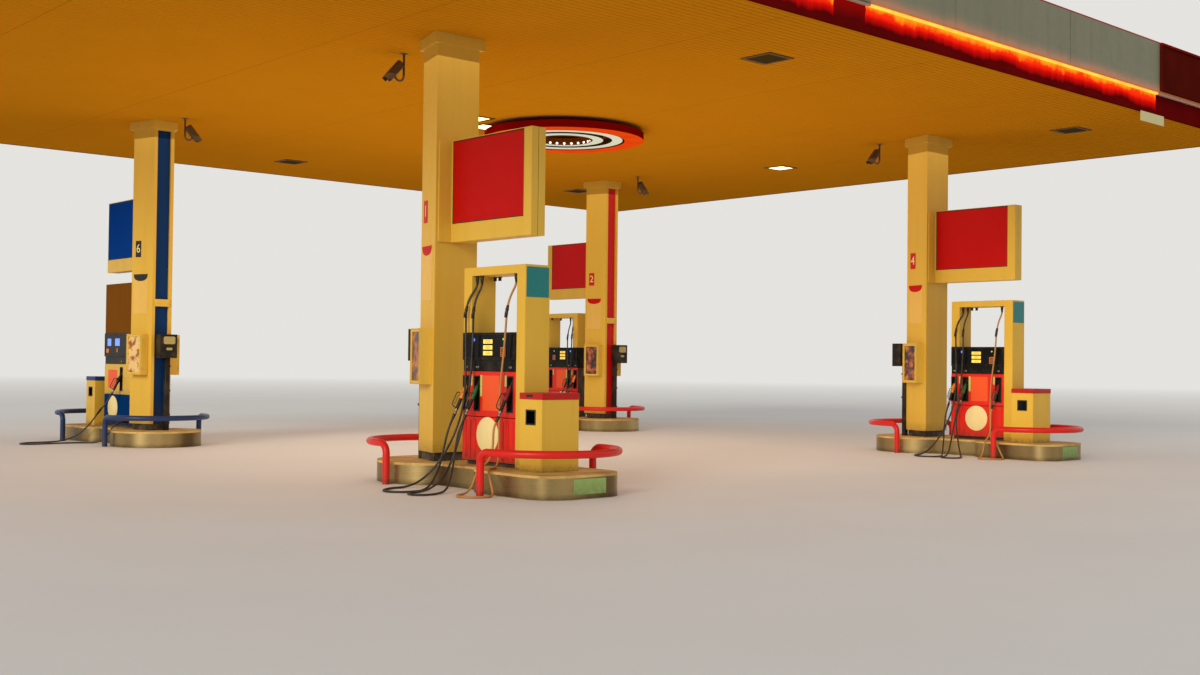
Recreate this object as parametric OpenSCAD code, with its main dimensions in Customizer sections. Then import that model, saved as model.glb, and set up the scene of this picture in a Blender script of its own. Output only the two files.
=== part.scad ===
// Filling station canopy: a flat roof on four clad columns, with the islands,
// fuel dispensers, bins, guard hoops and signs that stand fixed under it.
// Millimetres, +Z up. The origin is on the ground, under the middle of the roof.
// X runs along the long fascia and Y from the near side to the far side.
// Each island is modelled in its column's own frame, in which +Y points from the
// column to the dispenser.

/* [Roof] */
// Length of the roof over the fascia panels
roof_x = 18950; // [18000:50:19500]
// Depth of the roof over the fascia panels
roof_y = 16400; // [15600:100:17600]
// Height of the soffit's underside
soffit_z = 5370; // [5100:10:5700]
// Height of the coloured lower band
band_h = 330; // [260:10:400]
// Height of the upper fascia panel
panel_h = 760; // [700:10:860]
// How far the upper panel stands out from the lower band
panel_proud = 90; // [60:5:120]
// Thickness of the folded fascia sheet
sheet_t = 6; // [4:1:8]
// Depth of the flange at the top of the upper panel
coping_d = 140; // [120:10:200]
// Width of the flange under the lower band
band_flange = 60; // [40:5:90]
// Height by which the lower band passes behind the upper panel
band_lap = 60; // [40:5:80]
// Thickness of the soffit
soffit_t = 12; // [8:1:20]
// Depth of the main beams
beam_h = 400; // [360:10:440]
// Width of the main beams
beam_w = 180; // [140:10:220]
// Flange and web thickness of the main beams
beam_t = 14; // [10:1:20]
// Space between the soffit and the main beams
beam_gap = 110; // [80:10:140]
// Depth of the purlins
purlin_h = 160; // [130:10:180]
// Width of the purlins
purlin_w = 64; // [50:2:80]
// Wall of the purlins
purlin_t = 4; // [3:1:6]
// Number of purlins
purlins = 9; // [7:1:11]
// Thickness of the roof sheet
deck_t = 6; // [4:1:8]
// Height of the ribs of the roof sheet
rib_h = 40; // [25:1:50]
// Spacing of the ribs of the roof sheet
rib_pitch = 610; // [500:10:700]

/* [Fascia lights and name panel] */
// Width of the light strip under the upper panel
led_w = 40; // [30:2:50]
// Height of the light strip
led_h = 24; // [18:1:30]
// Length of the name panel on the near fascia
name_l = 3590; // [3000:10:3650]
// Space above and below the name panel on the fascia
name_border = 10; // [5:1:60]
// Thickness of the name panel
name_t = 45; // [30:5:60]
// Distance from the name panel to the end of the fascia
name_end = 60; // [30:10:100]
// Width of the clearance height plate
height_plate_w = 760; // [600:10:900]
// Height of the clearance height plate
height_plate_h = 150; // [120:5:200]
// Thickness of the clearance height plate
height_plate_t = 6; // [4:1:10]
// Distance from the clearance height plate to the end of the fascia
height_plate_end = 3310; // [3000:50:3600]

/* [Soffit fittings] */
// Side of a recessed lamp
lamp_w = 440; // [380:10:500]
// Depth of a recessed lamp above the soffit
lamp_h = 90; // [70:5:100]
// Width of the rim round a lamp
lamp_rim = 20; // [12:2:30]
// How far the rim stands below the soffit
lamp_drop = 15; // [8:1:25]
// Border between the lamp's edge and its glass
lamp_border = 30; // [20:2:45]
// Middle of the ring light along X, from the middle of the columns
ring_x = 100; // [0:10:200]
// Middle of the ring light along Y, from the middle of the roof
ring_y = -500; // [-600:10:-400]
// Outer radius of the ring light
ring_r = 1340; // [1300:10:1450]
// Width of the ring light's closed outer band
ring_band_w = 320; // [280:5:340]
// Height of the ring light's outer wall
ring_h = 120; // [90:5:150]
// Space between the ring light and the soffit
ring_gap = 70; // [40:5:110]
// Wall of the ring light
ring_t = 12; // [8:1:16]
// Width of each lit ring
ring_lens_w = 175; // [140:5:190]
// Space on each side of a lit ring
ring_lens_gap = 36; // [24:2:50]
// Width of the dark channel between the lit rings
ring_channel_w = 115; // [80:5:140]
// Diameter of the rods that hang the ring light
ring_rod_d = 20; // [14:1:30]
// Radius of a camera body
cam_r = 52; // [44:1:60]
// Length of a camera body
cam_l = 280; // [240:10:320]
// Drop of a camera's rod below the soffit
cam_drop = 340; // [300:10:380]
// Reach of the rod's foot, which carries the camera
cam_reach = 130; // [110:5:150]
// Tilt of a camera below the level
cam_tilt = 50; // [40:1:60]

/* [Columns] */
// Spacing of the columns along X
bay_x = 10100; // [9600:50:10600]
// Spacing of the columns along Y
bay_y = 8200; // [7800:50:8600]
// Offset of the column grid from the middle of the roof along X
bay_shift = 325; // [250:5:400]
// Offset of the column grid from the middle of the roof along Y
row_shift = -200; // [-300:10:0]
// Side of the steel post inside a column
post_w = 250; // [200:10:260]
// Wall of the steel post
post_t = 10; // [8:1:16]
// Width of the cladding on the dispenser side
clad_wide = 620; // [560:10:680]
// Width of the cladding on the far side
clad_narrow = 340; // [320:10:400]
// Depth of the cladding
clad_d = 490; // [450:10:540]
// Thickness of the cladding sheet
clad_t = 4; // [3:1:6]
// Width of the recess for the coloured strip
recess_w = 230; // [180:10:260]
// Depth of the recess for the coloured strip
recess_d = 45; // [30:5:60]
// Distance from the recess's upper end to the capital
recess_gap = 25; // [15:5:100]
// Thickness of the coloured strip
strip_t = 5; // [3:1:8]
// Height of the capital
capital_h = 135; // [110:5:180]
// How far the capital stands out
capital_proud = 45; // [30:5:70]
// Height of the dark plinth under the cladding
plinth_h = 103; // [80:1:140]
// How far the plinth stands back
plinth_inset = 30; // [15:1:40]
// Width of a poster case
case_w = 360; // [300:10:400]
// Height of a poster case
case_h = 670; // [600:10:740]
// Depth of a poster case
case_d = 150; // [110:5:170]
// Height of a poster case's lower edge above the ground
case_z = 1170; // [1100:10:1250]
// Border of a poster case
case_border = 42; // [30:2:60]
// Depth of the space in front of the poster
case_recess = 14; // [8:1:20]
// Thickness of the poster board
case_board_t = 8; // [4:1:12]
// Width of a service box
service_w = 300; // [240:10:320]
// Height of a service box
service_h = 390; // [360:10:480]
// Depth of a service box
service_d = 170; // [130:5:200]
// Height of a service box's lower edge above the ground
service_z = 1450; // [1350:10:1500]

/* [Column signs] */
// Length of a sign box
sign_l = 1510; // [1300:10:1600]
// Height of a sign box
sign_h = 1220; // [1050:10:1300]
// Thickness of a sign box
sign_t = 200; // [160:5:240]
// Height of a sign's lower edge above the ground
sign_z = 2870; // [2800:10:3000]
// How much higher the gas sign hangs
gas_sign_lift = 65; // [0:5:100]
// Space between the column and the sign box, filled by the neck
sign_neck = 25; // [10:5:80]
// Width of the neck
sign_neck_w = 560; // [300:10:600]
// Border under the sign face
sign_low = 220; // [150:10:260]
// Border at the outer end of the sign face
sign_outer = 140; // [100:5:180]
// Border above the sign face
sign_top = 8; // [6:1:40]
// Border at the inner end of the sign face
sign_inner = 15; // [10:1:50]
// Depth of the sign face's rebate
sign_rebate = 18; // [12:1:24]
// Thickness of the sign face
sign_face_t = 10; // [6:1:12]
// Width of the joint along the end of a sign box
sign_joint = 8; // [4:1:12]

/* [Islands] */
// Height of the islands
island_h = 257; // [220:1:300]
// Radius of the round end at the column
head_r = 720; // [660:10:760]
// Distance from the column to the middle of the round end
head_back = 100; // [60:10:140]
// Width of the narrow middle
waist_w = 800; // [700:10:880]
// Width of the outer end
nose_w = 1220; // [1140:10:1300]
// Length of the outer end
nose_l = 1480; // [1380:10:1560]
// Corner radius of the outer end
nose_r = 370; // [300:10:420]
// Distance from the column to the tip of the outer end
nose_end = 2700; // [2600:10:2800]
// Height of the concrete lip over the steel skirt
lip_h = 28; // [20:1:40]
// Thickness of the steel skirt
skirt_t = 6; // [4:1:8]
// Gap under the steel skirt
skirt_gap = 6; // [3:1:10]

/* [Guard hoops] */
// Diameter of the hoop tube
hoop_d = 85; // [70:1:95]
// Height of the rail's centre line
hoop_z = 480; // [440:10:540]
// Radius of the rail in plan
hoop_r = 810; // [800:10:860]
// Bend radius between the rail and a leg
hoop_bend = 120; // [100:5:160]
// Space from the outer end of an island to the rail's centre line
hoop_tip = 70; // [60:5:90]

/* [Dispensers] */
// Distance from the column to the dispenser
disp_start = 650; // [600:10:700]
// Length of a dispenser
disp_l = 1140; // [1100:10:1160]
// Width of a dispenser over its pillars
disp_w = 350; // [330:5:380]
// Height of a dispenser above the island
disp_h = 2283; // [2200:1:2350]
// Height of the header
header_h = 98; // [80:1:120]
// Width of a pillar
pillar_w = 152; // [130:1:165]
// Height of the lower housing, up to the display
housing_h = 1079; // [1040:1:1110]
// Height of the display head
display_h = 446; // [420:1:470]
// Width of the display head
display_w = 364; // [350:2:390]
// Height of the dark band under the display
display_sill_h = 130; // [110:1:150]
// How far the dark band stands back from the display
display_sill_in = 14; // [8:1:20]
// Height of the black plinth
disp_plinth_h = 51; // [40:1:70]
// How far the plinth stands back
disp_plinth_in = 25; // [15:1:40]
// Thickness of a front panel
front_t = 35; // [28:1:45]
// Height of the lower front panel
low_front_h = 504; // [470:1:530]
// Gap between two front panels
front_gap = 8; // [4:1:12]
// Width of a nozzle boot
boot_w = 104; // [92:2:112]
// Height of a nozzle boot
boot_h = 400; // [370:10:430]
// Depth of a nozzle boot
boot_d = 62; // [50:2:70]
// Wall of a nozzle boot
boot_t = 5; // [4:1:8]
// Distance from a boot's lower edge to the lower edge of its panel
boot_rise = 62; // [50:2:80]
// Diameter of a hose outlet
outlet_d = 44; // [36:1:50]
// Length of a hose outlet below the header
outlet_l = 46; // [36:1:60]
// Distance from the column to the gas dispenser
gas_start = 450; // [400:10:500]
// Height of the gas dispenser's display head
gas_display_h = 535; // [510:5:560]
// Height of the top of the gas dispenser above the island
gas_h = 2463; // [2400:1:2500]
// Height of the gas dispenser's hose outlet above the island
gas_outlet_h = 105; // [95:5:120]

/* [Bins] */
// Distance from the column to a bin
bin_start = 1830; // [1810:5:1880]
// Length of a bin along the island
bin_l = 380; // [340:10:400]
// Width of a bin across the island
bin_w = 532; // [500:4:560]
// Height of a bin below its lid
bin_h = 786; // [740:2:830]
// Height of a bin's lid
bin_lid_h = 70; // [60:2:90]
// How far the lid stands out
bin_lid_over = 6; // [3:1:10]
// Wall of a bin
bin_t = 12; // [8:1:16]
// Side of the square slot
slot_w = 160; // [130:5:180]
// Height of the slot's middle above the island
slot_z = 590; // [560:5:620]

/* [Hoses] */
// Diameter of a fuel hose
hose_d = 25; // [25:1:25]
// Length of a nozzle's inlet
nozzle_inlet_l = 60; // [50:2:70]

/* [Hidden] */
// The four islands: side along X, side along Y
NEAR_LEFT = 0;
FAR_LEFT = 1;
FAR_RIGHT = 2;
NEAR_RIGHT = 3;
CORNERS = [[-1, -1], [-1, 1], [1, 1], [1, -1]];
RED_ISLANDS = [NEAR_LEFT, FAR_RIGHT, NEAR_RIGHT];

eps = 1;
big = 30000;
island_top = island_h;
panel_z = soffit_z + band_h;
roof_top = panel_z + panel_h;
soffit_low = soffit_z + sheet_t;
soffit_high = soffit_low + soffit_t;
beam_z = soffit_high + beam_gap;
purlin_z = beam_z + beam_h;
deck_z = purlin_z + purlin_h;
inner_x = roof_x - 2 * sheet_t;
inner_y = roof_y - 2 * sheet_t;
band_x = roof_x - 2 * panel_proud;
band_y = roof_y - 2 * panel_proud;
field_x = band_x - 2 * sheet_t;
field_y = band_y - 2 * sheet_t;

slope = (clad_wide - clad_narrow) / 2 / clad_d;
slope_len = sqrt(1 + slope * slope);
slope_deg = atan(slope);
clad_z = island_top + plinth_h;
clad_top = soffit_low;
capital_z = clad_top - capital_h;
recess_top = capital_z - recess_gap;

disp_end = disp_start + disp_l;
disp_top = island_top + disp_h;
header_z = disp_top - header_h;
display_z = island_top + housing_h;
display_top = display_z + display_h;
display_end = disp_end - pillar_w;
core_w = disp_w - 2 * front_t;
low_front_z = island_top + disp_plinth_h;
high_front_z = low_front_z + low_front_h + front_gap;
high_front_h = display_z - high_front_z;
boot_z = high_front_z + boot_rise;
front_face = disp_w / 2;
boot_back = front_face - boot_d;
boot_side = 8;
boot_step = 215;
boot_end = 50;
boot_near = disp_start + boot_w / 2 + boot_side;
boot_mid = boot_near + boot_step;
boot_far = display_end - boot_w / 2 - boot_end;
outlet_x = 130;
outlet_near = 43;
outlet_step = 90;
outlet_end = 70;
outlet_first = disp_start + pillar_w + outlet_near;
outlets = [outlet_first, outlet_first + outlet_step, display_end - outlet_end];
gas_outlet_y = gas_start + 170;

// Where the soffit lamps are: X from the middle of the columns, Y from the middle of the roof
LAMPS = [
    [-1550, -6400], [-1300, 6200], [5950, -6500], [5980, -270], [5600, 5420], [-1600, -260], [-1000, 240]
];
// Where the cameras hang, in the same way, and which way each looks
CAMERAS = [[-5000, -3290, 168], [-4940, 3140, -5], [4910, 2720, -5], [4960, -3400, 168]];

// How far along X each island's service box sits from the middle of its column
SERVICE_X = [-80, 50, 180, -200];

// Hose routes in the island's own frame, from the outlet to the nozzle
ROUTE_NEAR = [
    [-130, 845, 2396], [-130, 844, 2350], [-142, 832, 2296], [-170, 808, 2240], [-200, 788, 2175],
    [-222, 775, 2090], [-232, 770, 1975], [-235, 773, 1830], [-236, 778, 1660], [-237, 784, 1470],
    [-241, 786, 1250], [-256, 782, 1030], [-290, 768, 820], [-344, 738, 630], [-414, 694, 450],
    [-500, 644, 290], [-608, 598, 155], [-742, 568, 60], [-905, 564, 17], [-1080, 590, 15], [-1240, 670, 15],
    [-1340, 790, 15], [-1350, 930, 15], [-1260, 1040, 15], [-1120, 1060, 15], [-970, 1000, 16],
    [-820, 915, 50], [-690, 840, 140], [-590, 785, 260], [-510, 740, 420], [-450, 716, 580],
    [-415, 710, 670], [-388, 710, 732], [-361, 710, 786], [-334, 710, 840]
];
ROUTE_MID = [
    [-130, 935, 2396], [-130, 934, 2350], [-141, 929, 2298], [-168, 921, 2240], [-198, 915, 2170],
    [-221, 912, 2080], [-232, 912, 1960], [-235, 912, 1810], [-236, 908, 1640], [-238, 898, 1450],
    [-242, 882, 1240], [-262, 864, 1020], [-300, 852, 800], [-355, 850, 605], [-425, 860, 430],
    [-505, 880, 290], [-600, 918, 175], [-710, 970, 100], [-830, 1030, 60], [-960, 1085, 28],
    [-1090, 1120, 15], [-1215, 1160, 15], [-1320, 1235, 15], [-1345, 1345, 15], [-1275, 1435, 15],
    [-1150, 1445, 15], [-1020, 1390, 16], [-905, 1315, 24], [-800, 1235, 60], [-690, 1140, 150], [-590, 1050, 290], [-505, 970, 460], [-445, 930, 610],
    [-412, 925, 684], [-388, 925, 732], [-361, 925, 786], [-334, 925, 840]
];
ROUTE_FAR = [
    [-130, 1568, 2396], [-130, 1567, 2350], [-141, 1562, 2298], [-168, 1553, 2240], [-198, 1545, 2170],
    [-221, 1537, 2080], [-232, 1529, 1960], [-235, 1518, 1810], [-236, 1502, 1640], [-237, 1480, 1470],
    [-238, 1456, 1300], [-238, 1438, 1120], [-238, 1430, 930], [-238, 1428, 760], [-239, 1429, 620],
    [-242, 1434, 500], [-254, 1446, 400],
    [-284, 1468, 322], [-332, 1502, 282], [-390, 1545, 273], [-448, 1588, 273], [-505, 1634, 275],
    [-560, 1684, 281], [-610, 1736, 283], [-653, 1786, 262], [-681, 1832, 212], [-694, 1874, 148],
    [-704, 1914, 84], [-726, 1954, 38], [-772, 1990, 17], [-838, 2010, 15], [-908, 2004, 15],
    [-975, 1974, 15], [-1030, 1920, 15], [-1058, 1850, 15], [-1054, 1776, 15], [-1018, 1710, 15],
    [-958, 1664, 15], [-890, 1640, 17], [-826, 1628, 34], [-772, 1618, 72], [-732, 1610, 124],
    [-704, 1604, 180], [-672, 1598, 232], [-628, 1590, 276], [-570, 1582, 310], [-510, 1572, 346],
    [-460, 1561, 398], [-429, 1551, 462], [-414, 1544, 532], [-408, 1540, 604], [-402, 1537, 674],
    [-386, 1536, 736], [-361, 1536, 786], [-334, 1536, 840]
];
ROUTE_GAS = [
    [-221, 620, 362], [-262, 620, 362], [-304, 621, 358], [-348, 626, 344], [-392, 636, 316],
    [-430, 651, 272], [-460, 670, 218], [-486, 694, 160], [-514, 726, 106], [-548, 768, 62],
    [-594, 822, 31], [-656, 886, 17], [-732, 948, 15], [-824, 1000, 15], [-930, 1034, 15],
    [-1050, 1050, 15], [-1180, 1048, 15], [-1310, 1030, 15], [-1440, 1004, 15], [-1560, 990, 15],
    [-1665, 1012, 15], [-1732, 1084, 15], [-1745, 1184, 15], [-1702, 1290, 15], [-1612, 1374, 15],
    [-1500, 1426, 15], [-1370, 1450, 15], [-1240, 1458, 15], [-1110, 1452, 17], [-985, 1426, 32],
    [-870, 1380, 66], [-770, 1316, 125], [-690, 1240, 205], [-625, 1165, 300], [-570, 1098, 405],
    [-520, 1036, 510], [-470, 980, 600], [-425, 940, 672], [-388, 925, 732], [-361, 925, 786],
    [-334, 925, 840]
];

// Puts its children in the frame of one island
module at_island(i) {
    side = CORNERS[i];
    translate([side[0] * bay_x / 2 + bay_shift, side[1] * bay_y / 2 + row_shift, 0])
        if (side[1] < 0) mirror([0, 1, 0]) children();
        else children();
}

// Repeats its children on both sides of the island
module both_sides() {
    children();
    mirror([1, 0, 0]) children();
}

// A box from its low corner to its high corner
module block(low, high) {
    translate(low) cube(high - low);
}

// A folded section along X at the near edge of the roof, mitred at both ends.
// The outline's first coordinate is the depth behind the outer face.
module mitred_run(length, outline) {
    difference() {
        rotate([90, 0, 90]) linear_extrude(length, center = true) polygon(outline);
        for (end = [0, 1]) mirror([end, 0, 0])
            translate([length / 2, 0, 0]) rotate(45) translate([0, -big / 2, 0]) cube(big);
    }
}

// One side of the roof's edge: angle 0 is the near side
module roof_side(angle, outline) {
    long = angle % 180 == 0;
    rotate(angle) translate([0, -(long ? roof_y : roof_x) / 2, 0])
        mitred_run(long ? roof_x : roof_y, outline);
}

panel_outline = [
    [0, panel_z], [panel_proud, panel_z], [panel_proud, panel_z + sheet_t], [sheet_t, panel_z + sheet_t],
    [sheet_t, roof_top - sheet_t], [coping_d, roof_top - sheet_t], [coping_d, roof_top], [0, roof_top]
];
band_outline = [
    [panel_proud, soffit_z], [panel_proud + band_flange, soffit_z],
    [panel_proud + band_flange, soffit_z + sheet_t], [panel_proud + sheet_t, soffit_z + sheet_t],
    [panel_proud + sheet_t, panel_z + band_lap], [panel_proud, panel_z + band_lap]
];

module fascia_near() { color("beige") roof_side(0, panel_outline); }
module fascia_right() { color("beige") roof_side(90, panel_outline); }
module fascia_far() { color("beige") roof_side(180, panel_outline); }
module fascia_left() { color("beige") roof_side(270, panel_outline); }

module band_near() { color("firebrick") roof_side(0, band_outline); }
module band_right() { color("firebrick") roof_side(90, band_outline); }
module band_far() { color("firebrick") roof_side(180, band_outline); }
module band_left() { color("firebrick") roof_side(270, band_outline); }

// Trapezoidal roof sheet, ribs along Y
function rib_edge(z) = [
    for (i = [0 : rib_count - 1], p = [[0.30, 0], [0.36, rib_h], [0.64, rib_h], [0.70, 0]])
        [(i - rib_count / 2 + p[0]) * rib_pitch, z + p[1]]
];
rib_count = floor(inner_x / rib_pitch);
module roof_deck() {
    low = rib_edge(deck_z);
    high = rib_edge(deck_z + deck_t);
    last = len(low) - 1;
    outline = concat(
        [[-inner_x / 2, deck_z]], low, [[inner_x / 2, deck_z], [inner_x / 2, deck_z + deck_t]],
        [for (i = [0 : last]) high[last - i]], [[-inner_x / 2, deck_z + deck_t]]
    );
    color("lightgray") rotate([90, 0, 0]) linear_extrude(inner_y, center = true) polygon(outline);
}

// Channels along X that carry the roof sheet
module roof_purlins() {
    step = (inner_y - 2 * coping_d) / (purlins - 1);
    channel = [
        [0, 0], [purlin_w, 0], [purlin_w, purlin_t], [purlin_t, purlin_t],
        [purlin_t, purlin_h - purlin_t], [purlin_w, purlin_h - purlin_t], [purlin_w, purlin_h], [0, purlin_h]
    ];
    color("silver") for (i = [0 : purlins - 1])
        translate([0, (i - (purlins - 1) / 2) * step - purlin_w / 2, purlin_z])
            rotate([90, 0, 90]) linear_extrude(inner_x, center = true) polygon(channel);
}

// Rolled beams along Y over the columns
module roof_beams() {
    half = beam_w / 2;
    web = beam_t / 2;
    section = [
        [-half, 0], [half, 0], [half, beam_t], [web, beam_t], [web, beam_h - beam_t], [half, beam_h - beam_t],
        [half, beam_h], [-half, beam_h], [-half, beam_h - beam_t], [-web, beam_h - beam_t], [-web, beam_t],
        [-half, beam_t]
    ];
    color("slategray") for (side = [-1, 1])
        translate([side * bay_x / 2 + bay_shift, 0, beam_z])
            rotate([90, 0, 0]) linear_extrude(field_y, center = true) polygon(section);
}

module soffit() {
    color("wheat") difference() {
        block([-field_x / 2, -field_y / 2, soffit_low], [field_x / 2, field_y / 2, soffit_high]);
        at_lamps() square_bar(lamp_w, soffit_low - eps, soffit_high + eps);
        for (i = [0 : 3]) at_island(i) square_bar(post_w, soffit_low - eps, soffit_high + eps);
    }
}

// Repeats its children at every soffit lamp
module at_lamps() {
    for (p = LAMPS) translate([p[0] + bay_shift, p[1], 0]) children();
}

// An upright bar of square section
module square_bar(side, low, high) {
    block([-side / 2, -side / 2, low], [side / 2, side / 2, high]);
}

// Light strips in the corner under the upper panel
module light_strips() {
    color("orangered") for (angle = [0, 90, 180, 270]) {
        long = angle % 180 == 0;
        run = (long ? band_x : band_y) - 4 * led_w;
        edge = (long ? band_y : band_x) / 2;
        rotate(angle) block([-run / 2, -edge - led_w, panel_z - led_h], [run / 2, -edge, panel_z]);
    }
}

// Blank name panel on the near fascia, with a raised rim
module name_panel() {
    name_h = panel_h - 2 * name_border;
    right = roof_x / 2 - name_end;
    rim = 40;
    floor_t = name_t / 2;
    color("saddlebrown") translate([right - name_l, -roof_y / 2, panel_z + name_border]) difference() {
        block([0, -name_t, 0], [name_l, 0, name_h]);
        block([rim, -name_t - eps, rim], [name_l - rim, -floor_t, name_h - rim]);
    }
}

// Plate that gives the clearance height, hung under the near band
module height_plate() {
    right = roof_x / 2 - height_plate_end;
    y = -band_y / 2;
    color("ivory") block([right - height_plate_w, y, soffit_z - height_plate_h],
        [right, y + height_plate_t, soffit_z]);
}

module soffit_lamps() {
    rim_w = lamp_w + 2 * lamp_rim;
    color("lightgray") at_lamps() difference() {
        union() {
            square_bar(lamp_w, soffit_low, soffit_high + lamp_h);
            square_bar(rim_w, soffit_low - lamp_drop, soffit_low);
        }
        square_bar(lamp_w - 2 * lamp_border, soffit_low - lamp_drop - eps, soffit_low);
    }
}

module lamp_glasses() {
    color("moccasin") at_lamps()
        square_bar(lamp_w - 2 * lamp_border, soffit_low - lamp_drop / 2, soffit_low);
}

ring_z = soffit_low - ring_gap;
ring_low = ring_z - ring_h;
lens_a = ring_r - ring_band_w - ring_lens_gap;
lens_b = lens_a - ring_lens_w - ring_channel_w - ring_lens_gap;
ring_inner = lens_b - ring_lens_w - ring_lens_gap;
module ring_section(outer, inner, low, high) {
    rotate_extrude($fn = 96) translate([inner, low]) square([outer - inner, high - low]);
}
module ring_light() {
    rods = 6;
    rod_r = lens_a - ring_lens_w / 2;
    color("firebrick") translate([ring_x + bay_shift, ring_y, 0]) {
        ring_section(ring_r, ring_inner, ring_z - ring_t, ring_z);
        ring_section(ring_r, ring_r - ring_band_w, ring_low, ring_z);
        ring_section(ring_inner + ring_t, ring_inner, ring_low, ring_z);
        for (i = [0 : rods - 1]) rotate(i * 360 / rods) translate([rod_r, 0, ring_z - ring_t])
            cylinder(d = ring_rod_d, h = ring_gap + ring_t, $fn = 24);
    }
}
module ring_light_glasses() {
    color("white") translate([ring_x + bay_shift, ring_y, 0]) for (outer = [lens_a, lens_b])
        ring_section(outer, outer - ring_lens_w, ring_low + ring_t, ring_z - ring_t);
}

// Cameras on cranked drop rods, each with a sun hood over its tube
module ceiling_cameras() {
    foot = 110;
    foot_t = 10;
    rod_d = 34;
    hood_t = 4;
    rise = 96;
    for (c = CAMERAS) color("dimgray") translate([c[0] + bay_shift, c[1], soffit_low]) rotate(c[2]) {
        translate([0, 0, -foot_t]) cylinder(d = foot, h = foot_t, $fn = 32);
        translate([0, 0, -cam_drop]) cylinder(d = rod_d, h = cam_drop, $fn = 24);
        translate([0, 0, -cam_drop]) sphere(d = rod_d, $fn = 24);
        translate([0, 0, -cam_drop]) rotate([0, 90, 0]) cylinder(d = rod_d, h = cam_reach, $fn = 24);
        translate([cam_reach, 0, rise - cam_drop]) rotate([0, cam_tilt, 0]) translate([-cam_l / 2, 0, 0]) {
            rotate([0, 90, 0]) cylinder(r = cam_r, h = cam_l, $fn = 32);
            translate([-hood_t, -cam_r - hood_t, 0]) cube([cam_l * 1.1, 2 * (cam_r + hood_t), cam_r + hood_t]);
        }
    }
}

// Plan of the cladding, grown outwards on every side
function clad_plan(grow) = let (
    near = clad_narrow / 2 - slope * grow + grow * slope_len,
    wide = clad_wide / 2 + slope * grow + grow * slope_len,
    y = clad_d / 2 + grow
) [[-near, -y], [near, -y], [wide, y], [-wide, y]];
// Half width of the cladding at a distance along the island
function clad_half(y) = clad_narrow / 2 + slope * (y + clad_d / 2);
// Hollow inside the cladding, clear of the recess
clad_hollow = let (
    y0 = -clad_d / 2 + recess_d + clad_t,
    y1 = clad_d / 2 - clad_t,
    x0 = clad_half(y0) - clad_t * slope_len,
    x1 = clad_half(y1) - clad_t * slope_len
) [[-x0, y0], [x0, y0], [x1, y1], [-x1, y1]];

module slab(low, high) {
    translate([0, 0, low]) linear_extrude(high - low) children();
}

module column_posts() {
    color("slategray") for (i = [0 : 3]) at_island(i) difference() {
        square_bar(post_w, island_top, beam_z);
        square_bar(post_w - 2 * post_t, island_top - eps, beam_z + eps);
    }
}

module column_cladding() {
    color("wheat") for (i = [0 : 3]) at_island(i) difference() {
        slab(clad_z, clad_top) polygon(clad_plan(0));
        slab(clad_z - eps, clad_top + eps) polygon(clad_hollow);
        block([-recess_w / 2, -clad_d / 2 - eps, clad_z - eps],
            [recess_w / 2, -clad_d / 2 + recess_d, recess_top]);
    }
}

module column_capitals() {
    color("wheat") for (i = [0 : 3]) at_island(i) difference() {
        slab(capital_z, clad_top) polygon(clad_plan(capital_proud));
        slab(capital_z - eps, clad_top + eps) polygon(clad_plan(0));
    }
}

module column_plinths() {
    color("dimgray") for (i = [0 : 3]) at_island(i) difference() {
        slab(island_top, clad_z) polygon(clad_plan(-plinth_inset));
        square_bar(post_w, island_top - eps, clad_z + eps);
    }
}

module strip(i) {
    back = -clad_d / 2 + recess_d;
    at_island(i) block([-recess_w / 2, back - strip_t, clad_z], [recess_w / 2, back, recess_top]);
}
module red_strips() { color("red") for (i = RED_ISLANDS) strip(i); }
module blue_strip() { color("navy") strip(FAR_LEFT); }

sign_y = clad_d / 2 + sign_neck;
sign_end = sign_y + sign_l;
sign_high = sign_z + sign_h;
// The gas sign's face reaches the outer end of its box
function sign_face_end(i) = i == FAR_LEFT ? sign_end : sign_end - sign_outer;
function sign_lift(i) = i == FAR_LEFT ? gas_sign_lift : 0;
module sign_boxes() {
    face_in = sign_t / 2 - sign_rebate;
    color("wheat") for (i = [0 : 3]) at_island(i) translate([0, 0, sign_lift(i)]) difference() {
        union() {
            block([-sign_t / 2, sign_y, sign_z], [sign_t / 2, sign_end, sign_high]);
            block([-sign_neck_w / 2, clad_d / 2, sign_z], [sign_neck_w / 2, sign_y, sign_high]);
        }
        both_sides() block([face_in, sign_y + sign_inner, sign_z + sign_low],
            [sign_t / 2 + eps, sign_face_end(i) + (i == FAR_LEFT ? eps : 0), sign_high - sign_top]);
        block([-sign_joint / 2, sign_end - sign_joint, sign_z - eps],
            [sign_joint / 2, sign_end + eps, sign_high + eps]);
    }
}
module sign_faces(i) {
    face_in = sign_t / 2 - sign_rebate;
    at_island(i) translate([0, 0, sign_lift(i)]) both_sides()
        block([face_in, sign_y + sign_inner, sign_z + sign_low],
            [face_in + sign_face_t, sign_face_end(i), sign_high - sign_top]);
}
module red_sign_faces() { color("crimson") for (i = RED_ISLANDS) sign_faces(i); }
module blue_sign_faces() { color("royalblue") sign_faces(FAR_LEFT); }

// Puts its children on a sloped side of the column, +X outwards
module on_clad_side() {
    middle = (clad_narrow + clad_wide) / 4;
    translate([middle, 0, 0]) rotate(-slope_deg) children();
}
module poster_cases() {
    inner = case_w / 2 - case_border;
    color("wheat") for (i = [0 : 3]) at_island(i) both_sides() on_clad_side() difference() {
        block([0, -case_w / 2, case_z], [case_d, case_w / 2, case_z + case_h]);
        block([case_d - case_recess - case_board_t, -inner, case_z + case_border],
            [case_d + eps, inner, case_z + case_h - case_border]);
    }
}
module poster_boards() {
    inner = case_w / 2 - case_border;
    color("dimgray") for (i = [0 : 3]) at_island(i) both_sides() on_clad_side()
        block([case_d - case_recess - case_board_t, -inner, case_z + case_border],
            [case_d - case_recess, inner, case_z + case_h - case_border]);
}

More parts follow.
